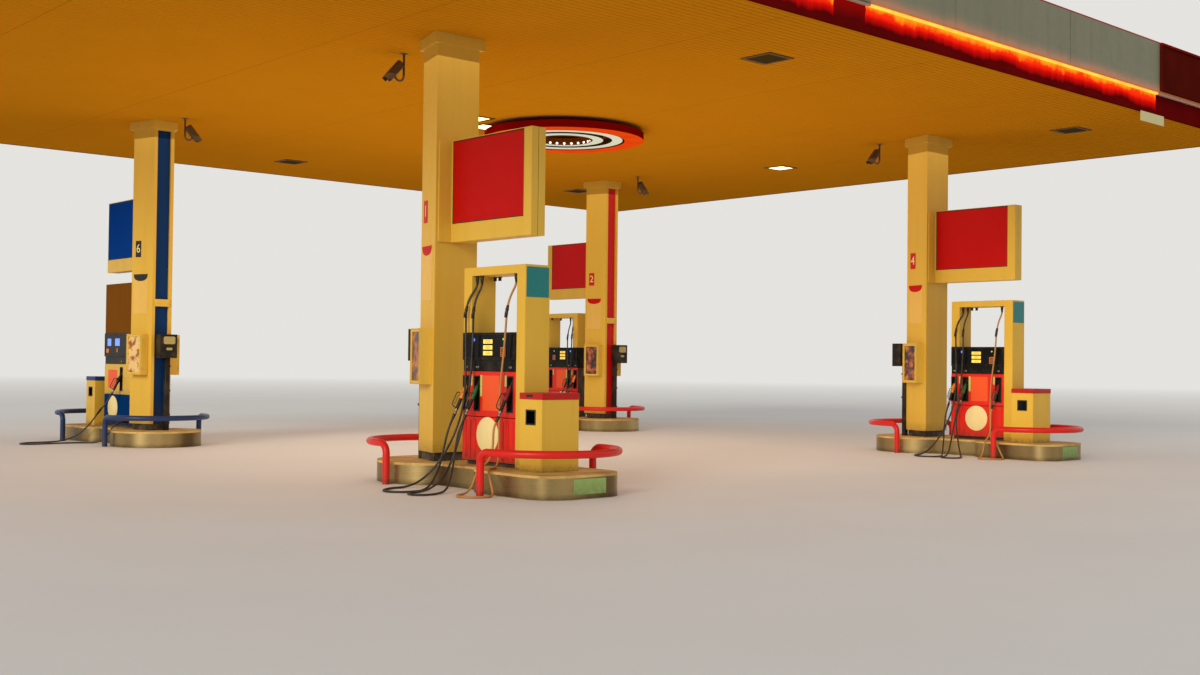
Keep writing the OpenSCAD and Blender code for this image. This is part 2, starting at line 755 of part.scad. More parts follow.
// Service boxes on the narrow side of the columns
module service_boxes() {
    door_in = 12;
    border = 24;
    y = -clad_d / 2;
    color("dimgray") for (i = [0 : 3]) at_island(i) translate([SERVICE_X[i], 0, 0]) difference() {
        block([-service_w / 2, y - service_d, service_z], [service_w / 2, y, service_z + service_h]);
        block([-service_w / 2 + border, y - service_d - eps, service_z + border],
            [service_w / 2 - border, y - service_d + door_in, service_z + service_h - border]);
    }
}

// Plan of an island, drawn in by a margin all round
module island_plan(inset) {
    nose_y = nose_end - nose_l;
    nose_x = nose_w / 2 - nose_r;
    translate([0, -head_back]) circle(r = head_r - inset, $fn = 96);
    translate([-waist_w / 2 + inset, -head_back]) square([waist_w - 2 * inset, head_back + nose_end - nose_r]);
    for (x = [-nose_x, nose_x], y = [nose_y + nose_r, nose_end - nose_r])
        translate([x, y]) circle(r = nose_r - inset, $fn = 64);
    translate([-nose_w / 2 + inset, nose_y + nose_r]) square([nose_w - 2 * inset, nose_l - 2 * nose_r]);
    translate([-nose_x, nose_y + inset]) square([2 * nose_x, nose_l - 2 * inset]);
}
module islands() {
    color("burlywood") for (i = [0 : 3]) at_island(i) {
        slab(0, skirt_gap) island_plan(0);
        slab(skirt_gap, island_top - lip_h) island_plan(skirt_t);
        slab(island_top - lip_h, island_top) island_plan(0);
    }
}
module island_skirts() {
    color("silver") for (i = [0 : 3]) at_island(i) slab(skirt_gap, island_top - lip_h) difference() {
        island_plan(0);
        island_plan(skirt_t);
    }
}

// A rail bent round one end of an island, towards +Y, with a leg at each side
module hoop(centre_y) {
    translate([0, centre_y, 0]) {
        translate([0, 0, hoop_z]) rotate_extrude(angle = 180, $fn = 96)
            translate([hoop_r, 0]) circle(d = hoop_d, $fn = 32);
        both_sides() translate([hoop_r, 0, hoop_z - hoop_bend]) {
            rotate([90, 0, 90]) rotate([0, 0, 90]) rotate_extrude(angle = 90, $fn = 96)
                translate([hoop_bend, 0]) circle(d = hoop_d, $fn = 32);
            translate([0, -hoop_bend, hoop_bend - hoop_z]) cylinder(d = hoop_d, h = hoop_z - hoop_bend, $fn = 32);
        }
    }
}
module island_hoops(i) {
    at_island(i) {
        hoop(nose_end + hoop_tip - hoop_r);
        mirror([0, 1, 0]) hoop(head_back);
    }
}
module red_hoops() { color("red") for (i = RED_ISLANDS) island_hoops(i); }
module blue_hoops() { color("royalblue") island_hoops(FAR_LEFT); }

// Outer pillar, header and inner end of a fuel dispenser, one folded frame
module dispenser_frames() {
    color("wheat") for (i = RED_ISLANDS) at_island(i)
        rotate([90, 0, 90]) linear_extrude(disp_w, center = true) polygon([
            [disp_start, display_top], [disp_start + pillar_w, display_top], [disp_start + pillar_w, header_z],
            [display_end, header_z], [display_end, island_top], [disp_end, island_top],
            [disp_end, disp_top], [disp_start, disp_top]
        ]);
}

// The gas dispenser starts nearer the column and has a taller display head
function near_end(i) = i == FAR_LEFT ? gas_start : disp_start;
function head_top(i) = display_z + (i == FAR_LEFT ? gas_display_h : display_h);

// The boots of a dispenser: distance along the island
boots_all = [boot_near, boot_mid, boot_far];
function boots_of(i) = i == FAR_LEFT ? [boot_mid] : boots_all;

module boot_holes(i) {
    for (y = boots_of(i))
        block([boot_back, y - boot_w / 2, boot_z], [front_face + eps, y + boot_w / 2, boot_z + boot_h]);
}
module dispenser_cores() {
    color("dimgray") for (i = [0 : 3]) at_island(i) difference() {
        union() {
            block([-core_w / 2, near_end(i), low_front_z], [core_w / 2, display_end, display_z]);
            block([-core_w / 2 + disp_plinth_in, near_end(i) + disp_plinth_in, island_top],
                [core_w / 2 - disp_plinth_in, display_end, low_front_z]);
        }
        both_sides() boot_holes(i);
    }
}
module display_heads() {
    sill_w = display_w - 2 * display_sill_in;
    sill_top = display_z + display_sill_h;
    color("black") for (i = [0 : 3]) at_island(i) {
        block([-display_w / 2, near_end(i), sill_top], [display_w / 2, display_end, head_top(i)]);
        block([-sill_w / 2, near_end(i), display_z], [sill_w / 2, display_end, sill_top]);
    }
}
module low_panels(i) {
    at_island(i) both_sides()
        block([core_w / 2, near_end(i), low_front_z], [front_face, display_end, low_front_z + low_front_h]);
}
module high_panels(i) {
    at_island(i) both_sides() difference() {
        block([core_w / 2, near_end(i), high_front_z], [front_face, display_end, high_front_z + high_front_h]);
        boot_holes(i);
    }
}
module red_front_panels() {
    color("red") for (i = RED_ISLANDS) {
        low_panels(i);
        high_panels(i);
    }
}
module blue_front_panels() { color("royalblue") low_panels(FAR_LEFT); }
module gas_upper_panels() { color("wheat") high_panels(FAR_LEFT); }

// Closed housing over the gas dispenser's display head
module gas_housing() {
    color("peru") at_island(FAR_LEFT)
        block([-disp_w / 2, gas_start, head_top(FAR_LEFT)], [disp_w / 2, display_end, island_top + gas_h]);
}

// Open-fronted cups that the nozzles hang in
module nozzle_boots() {
    color("black") for (i = [0 : 3]) at_island(i) both_sides() for (y = boots_of(i)) difference() {
        block([boot_back, y - boot_w / 2, boot_z], [front_face, y + boot_w / 2, boot_z + boot_h]);
        block([boot_back + boot_t, y - boot_w / 2 + boot_t, boot_z + boot_t],
            [front_face + eps, y + boot_w / 2 - boot_t, boot_z + boot_h - boot_t]);
    }
}

// Outlets under the header, and low on the front of the gas dispenser
module hose_outlets() {
    color("black") {
        for (i = RED_ISLANDS) at_island(i) both_sides() for (y = outlets)
            translate([outlet_x, y, header_z - outlet_l]) cylinder(d = outlet_d, h = outlet_l, $fn = 32);
        at_island(FAR_LEFT) both_sides() translate([front_face, gas_outlet_y, island_top + gas_outlet_h])
            rotate([0, 90, 0]) cylinder(d = outlet_d, h = outlet_l, $fn = 32);
    }
}

// A nozzle in its boot: spout up and inwards, grip and inlet down and outwards
nozzle_tilt = atan(0.5);
nozzle_gap = 0.44;
spout_r = 11;
spout_l = 120;
body_r = 27;
body_l = 130;
grip_r = 21;
grip_l = 150;
nozzle_l = nozzle_inlet_l + grip_l + body_l + spout_l;
nozzle_reach = nozzle_l * sin(nozzle_tilt) + spout_r * cos(nozzle_tilt);
nozzle_foot = [-boot_back - boot_t - nozzle_gap - nozzle_reach, 0, boot_z - 42];
module nozzle() {
    guard_t = 12;
    guard_out = 88;
    translate(nozzle_foot) rotate([0, nozzle_tilt, 0]) {
        cylinder(d = hose_d + 8, h = nozzle_inlet_l, $fn = 24);
        translate([0, 0, nozzle_inlet_l]) cylinder(r = grip_r, h = grip_l, $fn = 24);
        translate([0, 0, nozzle_inlet_l + grip_l]) {
            cylinder(r = body_r, h = body_l, $fn = 24);
            translate([0, 0, body_l]) cylinder(r1 = body_r, r2 = spout_r, h = 30, $fn = 24);
            translate([0, 0, body_l + 30]) cylinder(r = spout_r, h = spout_l - 30, $fn = 24);
        }
        difference() {
            block([-guard_out, -guard_t / 2, nozzle_inlet_l + 10], [0, guard_t / 2, nozzle_inlet_l + grip_l + 40]);
            block([-guard_out + guard_t, -guard_t, nozzle_inlet_l + 10 + guard_t],
                [-grip_r + 2, guard_t, nozzle_inlet_l + grip_l + 40 - guard_t]);
        }
    }
}
function nozzles_of(i) = i == FAR_LEFT ? [boot_mid] : i == FAR_RIGHT ? [boot_near, boot_mid] : boots_all;
module nozzles() {
    color("orange") for (i = [0 : 3]) at_island(i) for (y = nozzles_of(i)) translate([0, y, 0]) nozzle();
}

// Waste bins, hollow, with a square slot on each side
module bins() {
    low = island_top;
    high = island_top + bin_h;
    mid_y = bin_start + bin_l / 2;
    color("wheat") for (i = [0 : 3]) at_island(i) difference() {
        block([-bin_w / 2, bin_start, low], [bin_w / 2, bin_start + bin_l, high]);
        block([-bin_w / 2 + bin_t, bin_start + bin_t, low + bin_t],
            [bin_w / 2 - bin_t, bin_start + bin_l - bin_t, high + eps]);
        block([-bin_w, mid_y - slot_w / 2, low + slot_z - slot_w / 2],
            [bin_w, mid_y + slot_w / 2, low + slot_z + slot_w / 2]);
    }
}
module bin_lid(i) {
    low = island_top + bin_h;
    over = bin_lid_over;
    at_island(i) difference() {
        block([-bin_w / 2 - over, bin_start - over, low], [bin_w / 2 + over, bin_start + bin_l + over, low + bin_lid_h]);
        block([-bin_w / 2 + bin_t, bin_start + bin_t, low - eps],
            [bin_w / 2 - bin_t, bin_start + bin_l - bin_t, low + bin_lid_h - bin_t]);
    }
}
module red_bin_lids() { color("red") for (i = RED_ISLANDS) bin_lid(i); }
module blue_bin_lid() { color("royalblue") bin_lid(FAR_LEFT); }

// A round tube swept along a smooth curve through a route's points
hose_sides = 8;
hose_steps = 2;
function between(a, b, c, d, t) = 0.5 * (2 * b + (c - a) * t + (2 * a - 5 * b + 4 * c - d) * t * t
    + (3 * b - a - 3 * c + d) * t * t * t);
function smooth(p) = let (n = len(p) - 1) concat([
    for (i = [0 : n - 1], s = [0 : hose_steps - 1])
        between(p[max(i - 1, 0)], p[i], p[i + 1], p[min(i + 2, n)], s / hose_steps)
], [p[n]]);
function unit(v) = v / norm(v);
// Side directions carried along the curve without twist
function carry(side, dir) = unit(side - (side * dir) * dir);
function sides_along(dirs) = [
    for (i = 0, s = carry([0, 1, 0], dirs[0]); i < len(dirs);
        i = i + 1, s = i < len(dirs) ? carry(s, dirs[i]) : s) s
];
module tube(route, d) {
    path = smooth(route);
    n = len(path) - 1;
    dirs = [for (i = [0 : n]) unit(path[min(i + 1, n)] - path[max(i - 1, 0)])];
    across = sides_along(dirs);
    rings = [for (i = [0 : n], k = [0 : hose_sides - 1])
        path[i] + d / 2 * (cos(360 * k / hose_sides) * across[i]
            + sin(360 * k / hose_sides) * cross(dirs[i], across[i]))];
    faces = concat(
        [[for (k = [0 : hose_sides - 1]) k]],
        [for (i = [0 : n - 1], k = [0 : hose_sides - 1]) let (m = (k + 1) % hose_sides)
            [i * hose_sides + k, (i + 1) * hose_sides + k, (i + 1) * hose_sides + m]],
        [for (i = [0 : n - 1], k = [0 : hose_sides - 1]) let (m = (k + 1) % hose_sides)
            [i * hose_sides + k, (i + 1) * hose_sides + m, i * hose_sides + m]],
        [[for (k = [0 : hose_sides - 1]) n * hose_sides + hose_sides - 1 - k]]
    );
    polyhedron(rings, faces);
}
module hose(i, route) { color("black") at_island(i) tube(route, hose_d); }
module hose_near_left_1() { hose(NEAR_LEFT, ROUTE_NEAR); }
module hose_near_left_2() { hose(NEAR_LEFT, ROUTE_MID); }
module hose_near_left_3() { hose(NEAR_LEFT, ROUTE_FAR); }
module hose_near_right_1() { hose(NEAR_RIGHT, ROUTE_NEAR); }
module hose_near_right_2() { hose(NEAR_RIGHT, ROUTE_MID); }
module hose_near_right_3() { hose(NEAR_RIGHT, ROUTE_FAR); }
module hose_far_right_1() { hose(FAR_RIGHT, ROUTE_NEAR); }
module hose_far_right_2() { hose(FAR_RIGHT, ROUTE_MID); }
module hose_far_left_1() { hose(FAR_LEFT, ROUTE_GAS); }

roof_deck();
roof_purlins();
roof_beams();
soffit();
fascia_near();
fascia_far();
fascia_left();
fascia_right();
band_near();
band_far();
band_left();
band_right();
light_strips();
name_panel();
height_plate();
soffit_lamps();
lamp_glasses();
ring_light();
ring_light_glasses();
ceiling_cameras();
column_posts();
column_cladding();
column_capitals();
column_plinths();
red_strips();
blue_strip();
sign_boxes();
red_sign_faces();
blue_sign_faces();
poster_cases();
poster_boards();
service_boxes();
islands();
island_skirts();
red_hoops();
blue_hoops();
dispenser_frames();
dispenser_cores();
display_heads();
red_front_panels();
blue_front_panels();
gas_upper_panels();
gas_housing();
nozzle_boots();
hose_outlets();
nozzles();
bins();
red_bin_lids();
blue_bin_lid();
hose_near_left_1();
hose_near_left_2();
hose_near_left_3();
hose_near_right_1();
hose_near_right_2();
hose_near_right_3();
hose_far_right_1();
hose_far_right_2();
hose_far_left_1();
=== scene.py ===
"""The looks of the filling station canopy: camera, light, materials and fine pieces around the CAD part.

Metres, +Z up, in the frame of the CAD part. Pieces of an island are written in that island's own frame:
x across it, y from its column towards its dispenser and z above the ground.
"""

import math
from functools import partialmethod
from itertools import product

import bpy
from mathutils import Matrix, Vector


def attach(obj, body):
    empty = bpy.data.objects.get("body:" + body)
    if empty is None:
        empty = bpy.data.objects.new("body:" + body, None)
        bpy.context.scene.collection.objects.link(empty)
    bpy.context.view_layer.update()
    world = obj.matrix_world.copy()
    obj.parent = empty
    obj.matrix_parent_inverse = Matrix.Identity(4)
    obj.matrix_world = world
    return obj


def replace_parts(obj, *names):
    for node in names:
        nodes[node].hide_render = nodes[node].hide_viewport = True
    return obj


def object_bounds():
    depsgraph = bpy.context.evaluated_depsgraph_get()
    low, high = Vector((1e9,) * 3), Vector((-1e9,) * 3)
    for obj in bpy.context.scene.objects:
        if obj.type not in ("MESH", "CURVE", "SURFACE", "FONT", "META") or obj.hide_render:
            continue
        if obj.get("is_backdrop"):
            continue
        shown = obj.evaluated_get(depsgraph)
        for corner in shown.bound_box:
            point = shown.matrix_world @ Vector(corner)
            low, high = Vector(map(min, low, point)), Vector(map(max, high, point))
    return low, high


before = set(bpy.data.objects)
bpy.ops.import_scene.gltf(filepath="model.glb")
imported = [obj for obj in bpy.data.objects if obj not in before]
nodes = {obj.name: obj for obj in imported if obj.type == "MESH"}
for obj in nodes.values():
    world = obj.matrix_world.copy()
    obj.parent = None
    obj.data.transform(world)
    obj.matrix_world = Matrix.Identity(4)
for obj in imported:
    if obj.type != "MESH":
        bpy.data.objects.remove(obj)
cad_low, cad_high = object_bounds()
scene = bpy.context.scene
scene.view_settings.view_transform = "Standard"

# The four islands, each with its side along X and along Y, and the two long sides of an island
ISLANDS = NEAR_LEFT, FAR_LEFT, FAR_RIGHT, NEAR_RIGHT = range(4)
CORNERS = [(-1, -1), (-1, 1), (1, 1), (1, -1)]
BOTH = (-1, 1)
# Distances between the columns, and how far their middle lies from the origin
BAY_X, BAY_Y = 10.1, 8.2
BAY_SHIFT, ROW_SHIFT = 0.325, -0.2
# Hose thickness; soffit: height, distance from slat to slat, half its size
HOSE_D = 0.025
SOFFIT_Z = 5.376
PITCH_SLAT = 0.1
HALF_X, HALF_Y = 9.379, 8.104
# In an island's frame: front faces of the dispensers' panels, middle of the bin and half its inside
FRONT = 0.175
BIN_Y = 2.02
BIN_INSIDE = (0.2545, 0.1785)
# Faces that meet at less than this are shaded as one
SHARP = math.radians(40)

# Soffit lamps, and the lit ones; ring light; cameras: X, Y and heading in degrees
LAMPS = [(BAY_SHIFT + x, y) for x, y in (
    (-1.55, -6.4), (-1.3, 6.2), (5.95, -6.5), (5.98, -0.27), (5.6, 5.42), (-1.6, -0.26), (-1.0, 0.24))]
LAMPS_LIT = [LAMPS[3], LAMPS[5], LAMPS[6]]
RING = (BAY_SHIFT + 0.1, -0.5)
CAMERAS = [(BAY_SHIFT + x, y, heading) for x, y, heading in (
    (-5.00, -3.29, 168), (-4.94, 3.14, -5), (4.91, 2.72, -5), (4.96, -3.40, 168))]
# Near side: what lies before this Y; left end of the name panel; the dark tube of the light strip
NEAR_Y = -8.0
NAME_X = 5.885
DARK_TUBE = (BAY_SHIFT - 2.33, BAY_SHIFT - 1.73)
# Top of the coloured bands, undersides of the ring light and its glasses, rims along the roof's edge
BAND_TOP = 5.70
RING_UNDER, RING_GLASS_UNDER = 5.188, 5.1995
NAME_RIM, FASCIA_RIM = 6.412, 6.438
# Each island's service box and its duct: distance along X from the column
SERVICE_X = [-0.08, 0.05, 0.18, -0.2]
DUCT_X = [-0.085, 0.085, 0.085, -0.15]


def place(island, side=-1):
    """Matrix from an island's own frame, seen from one of its sides, to the row frame."""
    sx, sy = CORNERS[island]
    flip = Matrix.Diagonal((-side, sy, 1, 1))
    return Matrix.Translation((sx * BAY_X / 2 + BAY_SHIFT, sy * BAY_Y / 2 + ROW_SHIFT, 0)) @ flip


def put(name, data):
    made = bpy.data.objects.new(name, data)
    scene.collection.objects.link(made)
    return made


# Camera at the photograph's place


def look(name, at, forward, roll, lens):
    data = bpy.data.cameras.new(name)
    data.sensor_width = 36
    data.lens = lens
    data.clip_start, data.clip_end = 0.1, 600
    camera = put(name, data)
    forward = Vector(forward).normalized()
    right = forward.cross(Vector((0, 0, 1))).normalized()
    up = right.cross(forward)
    turned_right = right * math.cos(roll) + up * math.sin(roll)
    turned_up = up * math.cos(roll) - right * math.sin(roll)
    turn = Matrix((turned_right, turned_up, -forward)).transposed()
    camera.matrix_world = Matrix.Translation(at) @ turn.to_4x4()
    scene.camera = camera


PITCH = math.radians(1.083)
look(
    "photo_view",
    at=(BAY_SHIFT - 14.646, -17.718, 1.448),
    forward=(0.6717 * math.cos(PITCH), 0.7408 * math.cos(PITCH), math.sin(PITCH)),
    roll=math.radians(0.640),
    lens=40.45,
)

# Materials

# Every material by its name
M = {}


class Nodes:
    """A node tree that is filled from code."""

    def __init__(self, owner):
        owner.use_nodes = True
        self.tree = owner.node_tree

    def feed(self, target, value):
        """Links a node's output to an input, or sets the input to a number, vector or colour."""
        if isinstance(value, bpy.types.NodeSocket):
            self.tree.links.new(value, target)
        elif target.type == "RGBA":
            target.default_value = (*value, 1)
        else:
            target.default_value = value

    def node(self, kind, **inputs):
        made = self.tree.nodes.new(kind)
        for name, value in inputs.items():
            self.feed(made.inputs[int(name[1:]) if name[0] == "_" else name], value)
        return made

    def math(self, kind, a, b=0.0, clamp=False):
        made = self.node("ShaderNodeMath", _0=a, _1=b)
        made.operation = kind
        made.use_clamp = clamp
        return made.outputs[0]

    times = partialmethod(math, "MULTIPLY")
    plus = partialmethod(math, "ADD")
    minus = partialmethod(math, "SUBTRACT")
    over = partialmethod(math, "DIVIDE")
    above = partialmethod(math, "GREATER_THAN")
    below = partialmethod(math, "LESS_THAN")
    most = partialmethod(math, "MAXIMUM")
    size = partialmethod(math, "ABSOLUTE")

    def inside(self, value, low, high):
        return self.times(self.above(value, low), self.below(value, high))


class Paint(Nodes):
    """One material and its nodes. Coordinates are the row frame's, in metres."""

    def __init__(self, name, on="", **sockets):
        """on names the solids that carry this material."""
        M[name] = self.made = bpy.data.materials.new(name)
        for solid in on.split():
            slots = nodes[solid].data.materials
            slots.clear()
            slots.append(self.made)
        super().__init__(self.made)
        self.shader = self.tree.nodes["Principled BSDF"]
        self.at = self.tree.nodes.new("ShaderNodeTexCoord").outputs["Object"]
        self.xyz = self.node("ShaderNodeSeparateXYZ", _0=self.at).outputs
        self.x, self.y, self.z = self.xyz
        for socket, value in sockets.items():
            self.set(socket.replace("_", " "), value)

    def set(self, socket, value):
        self.feed(self.shader.inputs[socket], value)

    def base(self, value):
        self.set("Base Color", value)

    def glow(self, value):
        self.set("Emission Color", value)

    def dull(self, value, low, high):
        """Roughness between two values, as a noise has it."""
        self.set("Roughness", self.span(value, 0.3, 0.7, low, high))

    def bump(self, height, distance, strength=1.0):
        made = self.node("ShaderNodeBump", Height=height, Distance=distance, Strength=strength)
        self.set("Normal", made.outputs["Normal"])

    def noise(self, scale, detail=3.0, rough=0.55, stretch=None):
        at = self.at
        if stretch:
            stretched = self.node("ShaderNodeVectorMath", _0=at, _1=stretch)
            stretched.operation = "MULTIPLY"
            at = stretched.outputs[0]
        made = self.node("ShaderNodeTexNoise", Scale=scale, Detail=detail, Roughness=rough, Vector=at)
        return made.outputs["Fac"]

    def cells(self, scale, output="Distance"):
        return self.node("ShaderNodeTexVoronoi", Scale=scale, Vector=self.at).outputs[output]

    def span(self, value, low, high, to_low=0.0, to_high=1.0):
        made = self.node("ShaderNodeMapRange", _0=value, _1=low, _2=high, _3=to_low, _4=to_high)
        return made.outputs[0]

    def mix(self, factor, a, b, kind="MIX"):
        made = self.tree.nodes.new("ShaderNodeMix")
        made.data_type = "RGBA"
        made.blend_type = kind
        for index, value in ((0, factor), (6, a), (7, b)):
            self.feed(made.inputs[index], value)
        return made.outputs[2]

    def lines(self, value, pitch, width, start=0.0):
        """1 on thin lines across an axis, 0 between them."""
        part = self.math("FRACT", self.over(self.minus(value, start), pitch))
        return self.above(self.size(self.minus(part, 0.5)), 0.5 - width / pitch / 2)


def shade(colour, factor):
    return tuple(min(1, c * factor) for c in colour)


def srgb(*parts):
    return tuple(((c / 255 + 0.055) / 1.055) ** 2.4 if c > 10 else c / 255 / 12.92 for c in parts)


def painted(
    name, colour, rough, mottle, streaks, on="", foot=None, metal=0.0, coat=0.0, joint_and_gap_lines=(), shine=0.25,
):
    """Paint on sheet metal: soft mottling, rain streaks, grime towards a foot, and dark lines, which are
    joints on most sheets and painted shade in the gaps between the soffit slats.
    """
    colour = srgb(*colour)
    p = Paint(name, on, Metallic=metal, Coat_Weight=coat, Coat_Roughness=0.25, Specular_IOR_Level=shine)
    cloud = p.noise(1.1, 4)
    fine = p.noise(23, 5, 0.6)
    look_of = p.mix(cloud, shade(colour, 1 - mottle), shade(colour, 1 + mottle * 0.6))
    look_of = p.mix(p.times(fine, 0.22), look_of, shade(colour, 0.72))
    if streaks:
        run = p.span(p.noise(1, 3, 0.5, (7, 7, 0.45)), 0.48, 0.75, 0, streaks)
        look_of = p.mix(run, look_of, shade(colour, 0.45))
    if foot:
        low, high = foot
        dirt = p.times(p.span(p.z, low, high, 1, 0), p.span(fine, 0.35, 0.7, 0.2, 0.75))
        look_of = p.mix(dirt, look_of, srgb(74, 58, 36))
    height = p.noise(160, 2)
    for axis, pitch, width, start in joint_and_gap_lines:
        joint_and_gap_shade = p.lines(p.xyz[axis], pitch, width, start)
        look_of = p.mix(p.times(joint_and_gap_shade, 0.65), look_of, shade(colour, 0.25))
        height = p.minus(height, p.times(joint_and_gap_shade, 4.0))
    p.base(look_of)
    p.dull(p.noise(9, 4), rough - 0.07, rough + 0.12)
    p.bump(height, 0.0006)
    return p


def plastic(name, colour, rough, grain, wear, on="", shine=0.3):
    """Moulded plastic or rubber with a fine grain and rubbed, dusty places."""
    colour = srgb(*colour)
    p = Paint(name, on, Specular_IOR_Level=shine)
    dust = p.span(p.noise(5, 5, 0.65), 0.45, 0.75, 0, wear)
    look_of = p.mix(p.noise(40, 3), shade(colour, 0.85), shade(colour, 1.15))
    p.base(p.mix(dust, look_of, srgb(150, 128, 92)))
    p.dull(p.noise(12, 4), rough - 0.08, rough + 0.15)
    p.bump(p.cells(grain), 0.0004, 0.6)


def metal(name, colour, rough, grain, stain, on=""):
    """Bare metal with a fine even grain and dull stains."""
    colour = srgb(*colour)
    p = Paint(name, on, Metallic=1.0)
    brush = p.noise(1, 3, 0.5, (grain, grain, grain))
    patch = p.span(p.noise(2.2, 5, 0.6), 0.42, 0.72, 0, stain)
    p.base(p.mix(patch, p.mix(brush, shade(colour, 0.82), shade(colour, 1.1)), shade(colour, 0.42)))
    p.set("Roughness", p.plus(p.span(brush, 0.3, 0.7, rough - 0.06, rough + 0.1), p.times(patch, 0.3)))
    p.bump(brush, 0.0004, 0.5)


def lit(name, colour, glow, strength, rough, ripple):
    """A lit lens: its own light varies a little with the ribs of the lens."""
    colour, glow = srgb(*colour), srgb(*glow)
    p = Paint(name, Emission_Strength=strength)
    rib = p.noise(ripple, 2)
    p.base(p.mix(rib, shade(colour, 0.9), colour))
    p.glow(p.mix(rib, shade(glow, 0.82), glow))
    p.dull(rib, rough - 0.1, rough + 0.1)
    p.bump(rib, 0.0005)


CREAM = (216, 172, 60)
SOFFIT = (202, 132, 20)
RED = (196, 14, 10)
BLUE = (8, 50, 100)

painted("roof_sheet", (168, 166, 160), 0.42, 0.12, 0.35, "roof_deck", metal=0.55)
metal("galvanised", (168, 170, 172), 0.42, 40, 0.3, "roof_purlins")
painted("primed_steel", (104, 92, 84), 0.55, 0.16, 0.2, "roof_beams column_posts")
painted("soffit_metal", SOFFIT, 0.38, 0.07, 0, joint_and_gap_lines=[("X", 3.05, 0.006, 0.4)], shine=0.0)
# Soffit behind the slats: its dark lines are painted shade in the gaps between the slats
painted("soffit_back", SOFFIT, 0.38, 0.07, 0, "soffit", joint_and_gap_lines=[("Y", PITCH_SLAT, 0.016, -HALF_Y)], shine=0.0)
painted("fascia_panel", (128, 127, 104), 0.42, 0.08, 0.18, "fascia_left fascia_right", shine=0.12)
painted("cladding", CREAM, 0.42, 0.07, 0.1, "column_cladding column_capitals", foot=(0.3, 0.52))
plastic("plinth_dark", (52, 44, 34), 0.6, 120, 0.5, "column_plinths")
painted("strip_red", RED, 0.42, 0.14, 0.1, "red_strips", foot=(0.3, 0.8))
painted("strip_blue", BLUE, 0.42, 0.14, 0.1, "blue_strip", foot=(0.3, 0.8), shine=0.12)
painted("sign_frame", (218, 176, 64), 0.4, 0.06, 0.14, "sign_boxes")
painted("sign_red", (188, 10, 8), 0.4, 0.1, 0.06, "red_sign_faces", shine=0.1)
painted("sign_blue", (12, 58, 134), 0.4, 0.1, 0.06, "blue_sign_faces", shine=0.0)
painted("case_frame", (222, 180, 68), 0.38, 0.06, 0.1, "poster_cases")
plastic("service_dark", (34, 31, 26), 0.42, 150, 0.16, "service_boxes", shine=0.15)
painted("hoop_red", (204, 22, 14), 0.36, 0.14, 0, "red_hoops", foot=(0.0, 0.2), coat=0.1)
painted("hoop_blue", (26, 48, 88), 0.36, 0.14, 0, "blue_hoops", foot=(0.0, 0.2), coat=0.1)
painted("dispenser_frame", (218, 174, 58), 0.4, 0.06, 0.1, "dispenser_frames", foot=(0.26, 0.42))
plastic("dispenser_core", (60, 50, 40), 0.5, 140, 0.3, "dispenser_cores")
plastic("display_black", (20, 18, 16), 0.24, 300, 0.08, "display_heads", shine=0.12)
painted("front_red", (220, 34, 12), 0.38, 0.08, 0.08, "red_front_panels", foot=(0.3, 0.5), coat=0.1)
painted("front_blue", BLUE, 0.38, 0.12, 0.08, "blue_front_panels", foot=(0.3, 0.5), shine=0.0)
painted("front_cream", CREAM, 0.38, 0.06, 0.08, "gas_upper_panels", foot=(0.8, 0.95), coat=0.1)
# Gas housing: a dark brown that is partly its own tint and partly painted shade from the sign above
painted("housing_brown", (118, 72, 22), 0.34, 0.2, 0.25, "gas_housing", shine=0.0)
painted("notice_plate", (222, 178, 84), 0.38, 0.06, 0.1)
plastic("boot_black", (26, 23, 20), 0.4, 260, 0.12, "nozzle_boots")
metal("outlet_black", (70, 62, 52), 0.4, 30, 0.4)
painted("lid_red", (180, 20, 14), 0.38, 0.12, 0.1, "red_bin_lids")
painted("lid_blue", (24, 56, 112), 0.38, 0.12, 0.1, "blue_bin_lid")
metal("nozzle_metal", (140, 130, 112), 0.3, 60, 0.3)
plastic("grip_black", (28, 25, 22), 0.5, 420, 0.15)
plastic("cover_orange", (226, 132, 34), 0.38, 320, 0.1)
plastic("cover_green", (24, 92, 42), 0.38, 320, 0.1)
plastic("cover_dark_red", (122, 22, 22), 0.38, 320, 0.1)
plastic("cover_black", (24, 22, 20), 0.38, 320, 0.1, shine=0.15)
plastic("hose_tan", (176, 122, 60), 0.5, 300, 0.2)
painted("camera_grey", (92, 70, 42), 0.45, 0.14, 0.1)
plastic("camera_window", (12, 12, 14), 0.12, 400, 0.02, shine=0.12)
painted("end_plate_teal", (18, 118, 116), 0.3, 0.1, 0.05, coat=0.2)
painted("pale_plate", (238, 214, 148), 0.35, 0.07, 0.08)
painted("green_plate", (136, 162, 92), 0.35, 0.14, 0.2, foot=(0.02, 0.2))
painted("label_strip", (196, 190, 96), 0.35, 0.1, 0)
metal("screw_steel", (190, 184, 170), 0.3, 90, 0.2)
painted("height_plate", (206, 196, 140), 0.4, 0.08, 0.1, "height_plate")
# Service windows: their pale colour is a painted reflection
plastic("window_painted_reflection", (168, 152, 92), 0.2, 300, 0.3)
painted("front_plate", (236, 84, 30), 0.36, 0.12, 0.06, coat=0.1)
plastic("gasket", (34, 28, 24), 0.5, 200, 0.1)
lit("readout", (230, 190, 70), (255, 214, 92), 0.75, 0.3, 220)
lit("blue_light", (90, 120, 240), (90, 130, 255), 1.1, 0.3, 220)
lit("green_light", (150, 190, 60), (160, 200, 70), 0.7, 0.3, 220)
painted("keypad", (214, 120, 44), 0.4, 0.1, 0)
painted("lamp_body", (104, 72, 26), 0.42, 0.08, 0, "soffit_lamps", shine=0.05)
lit("ring_spot", (250, 240, 225), (255, 240, 220), 1.6, 0.2, 90)


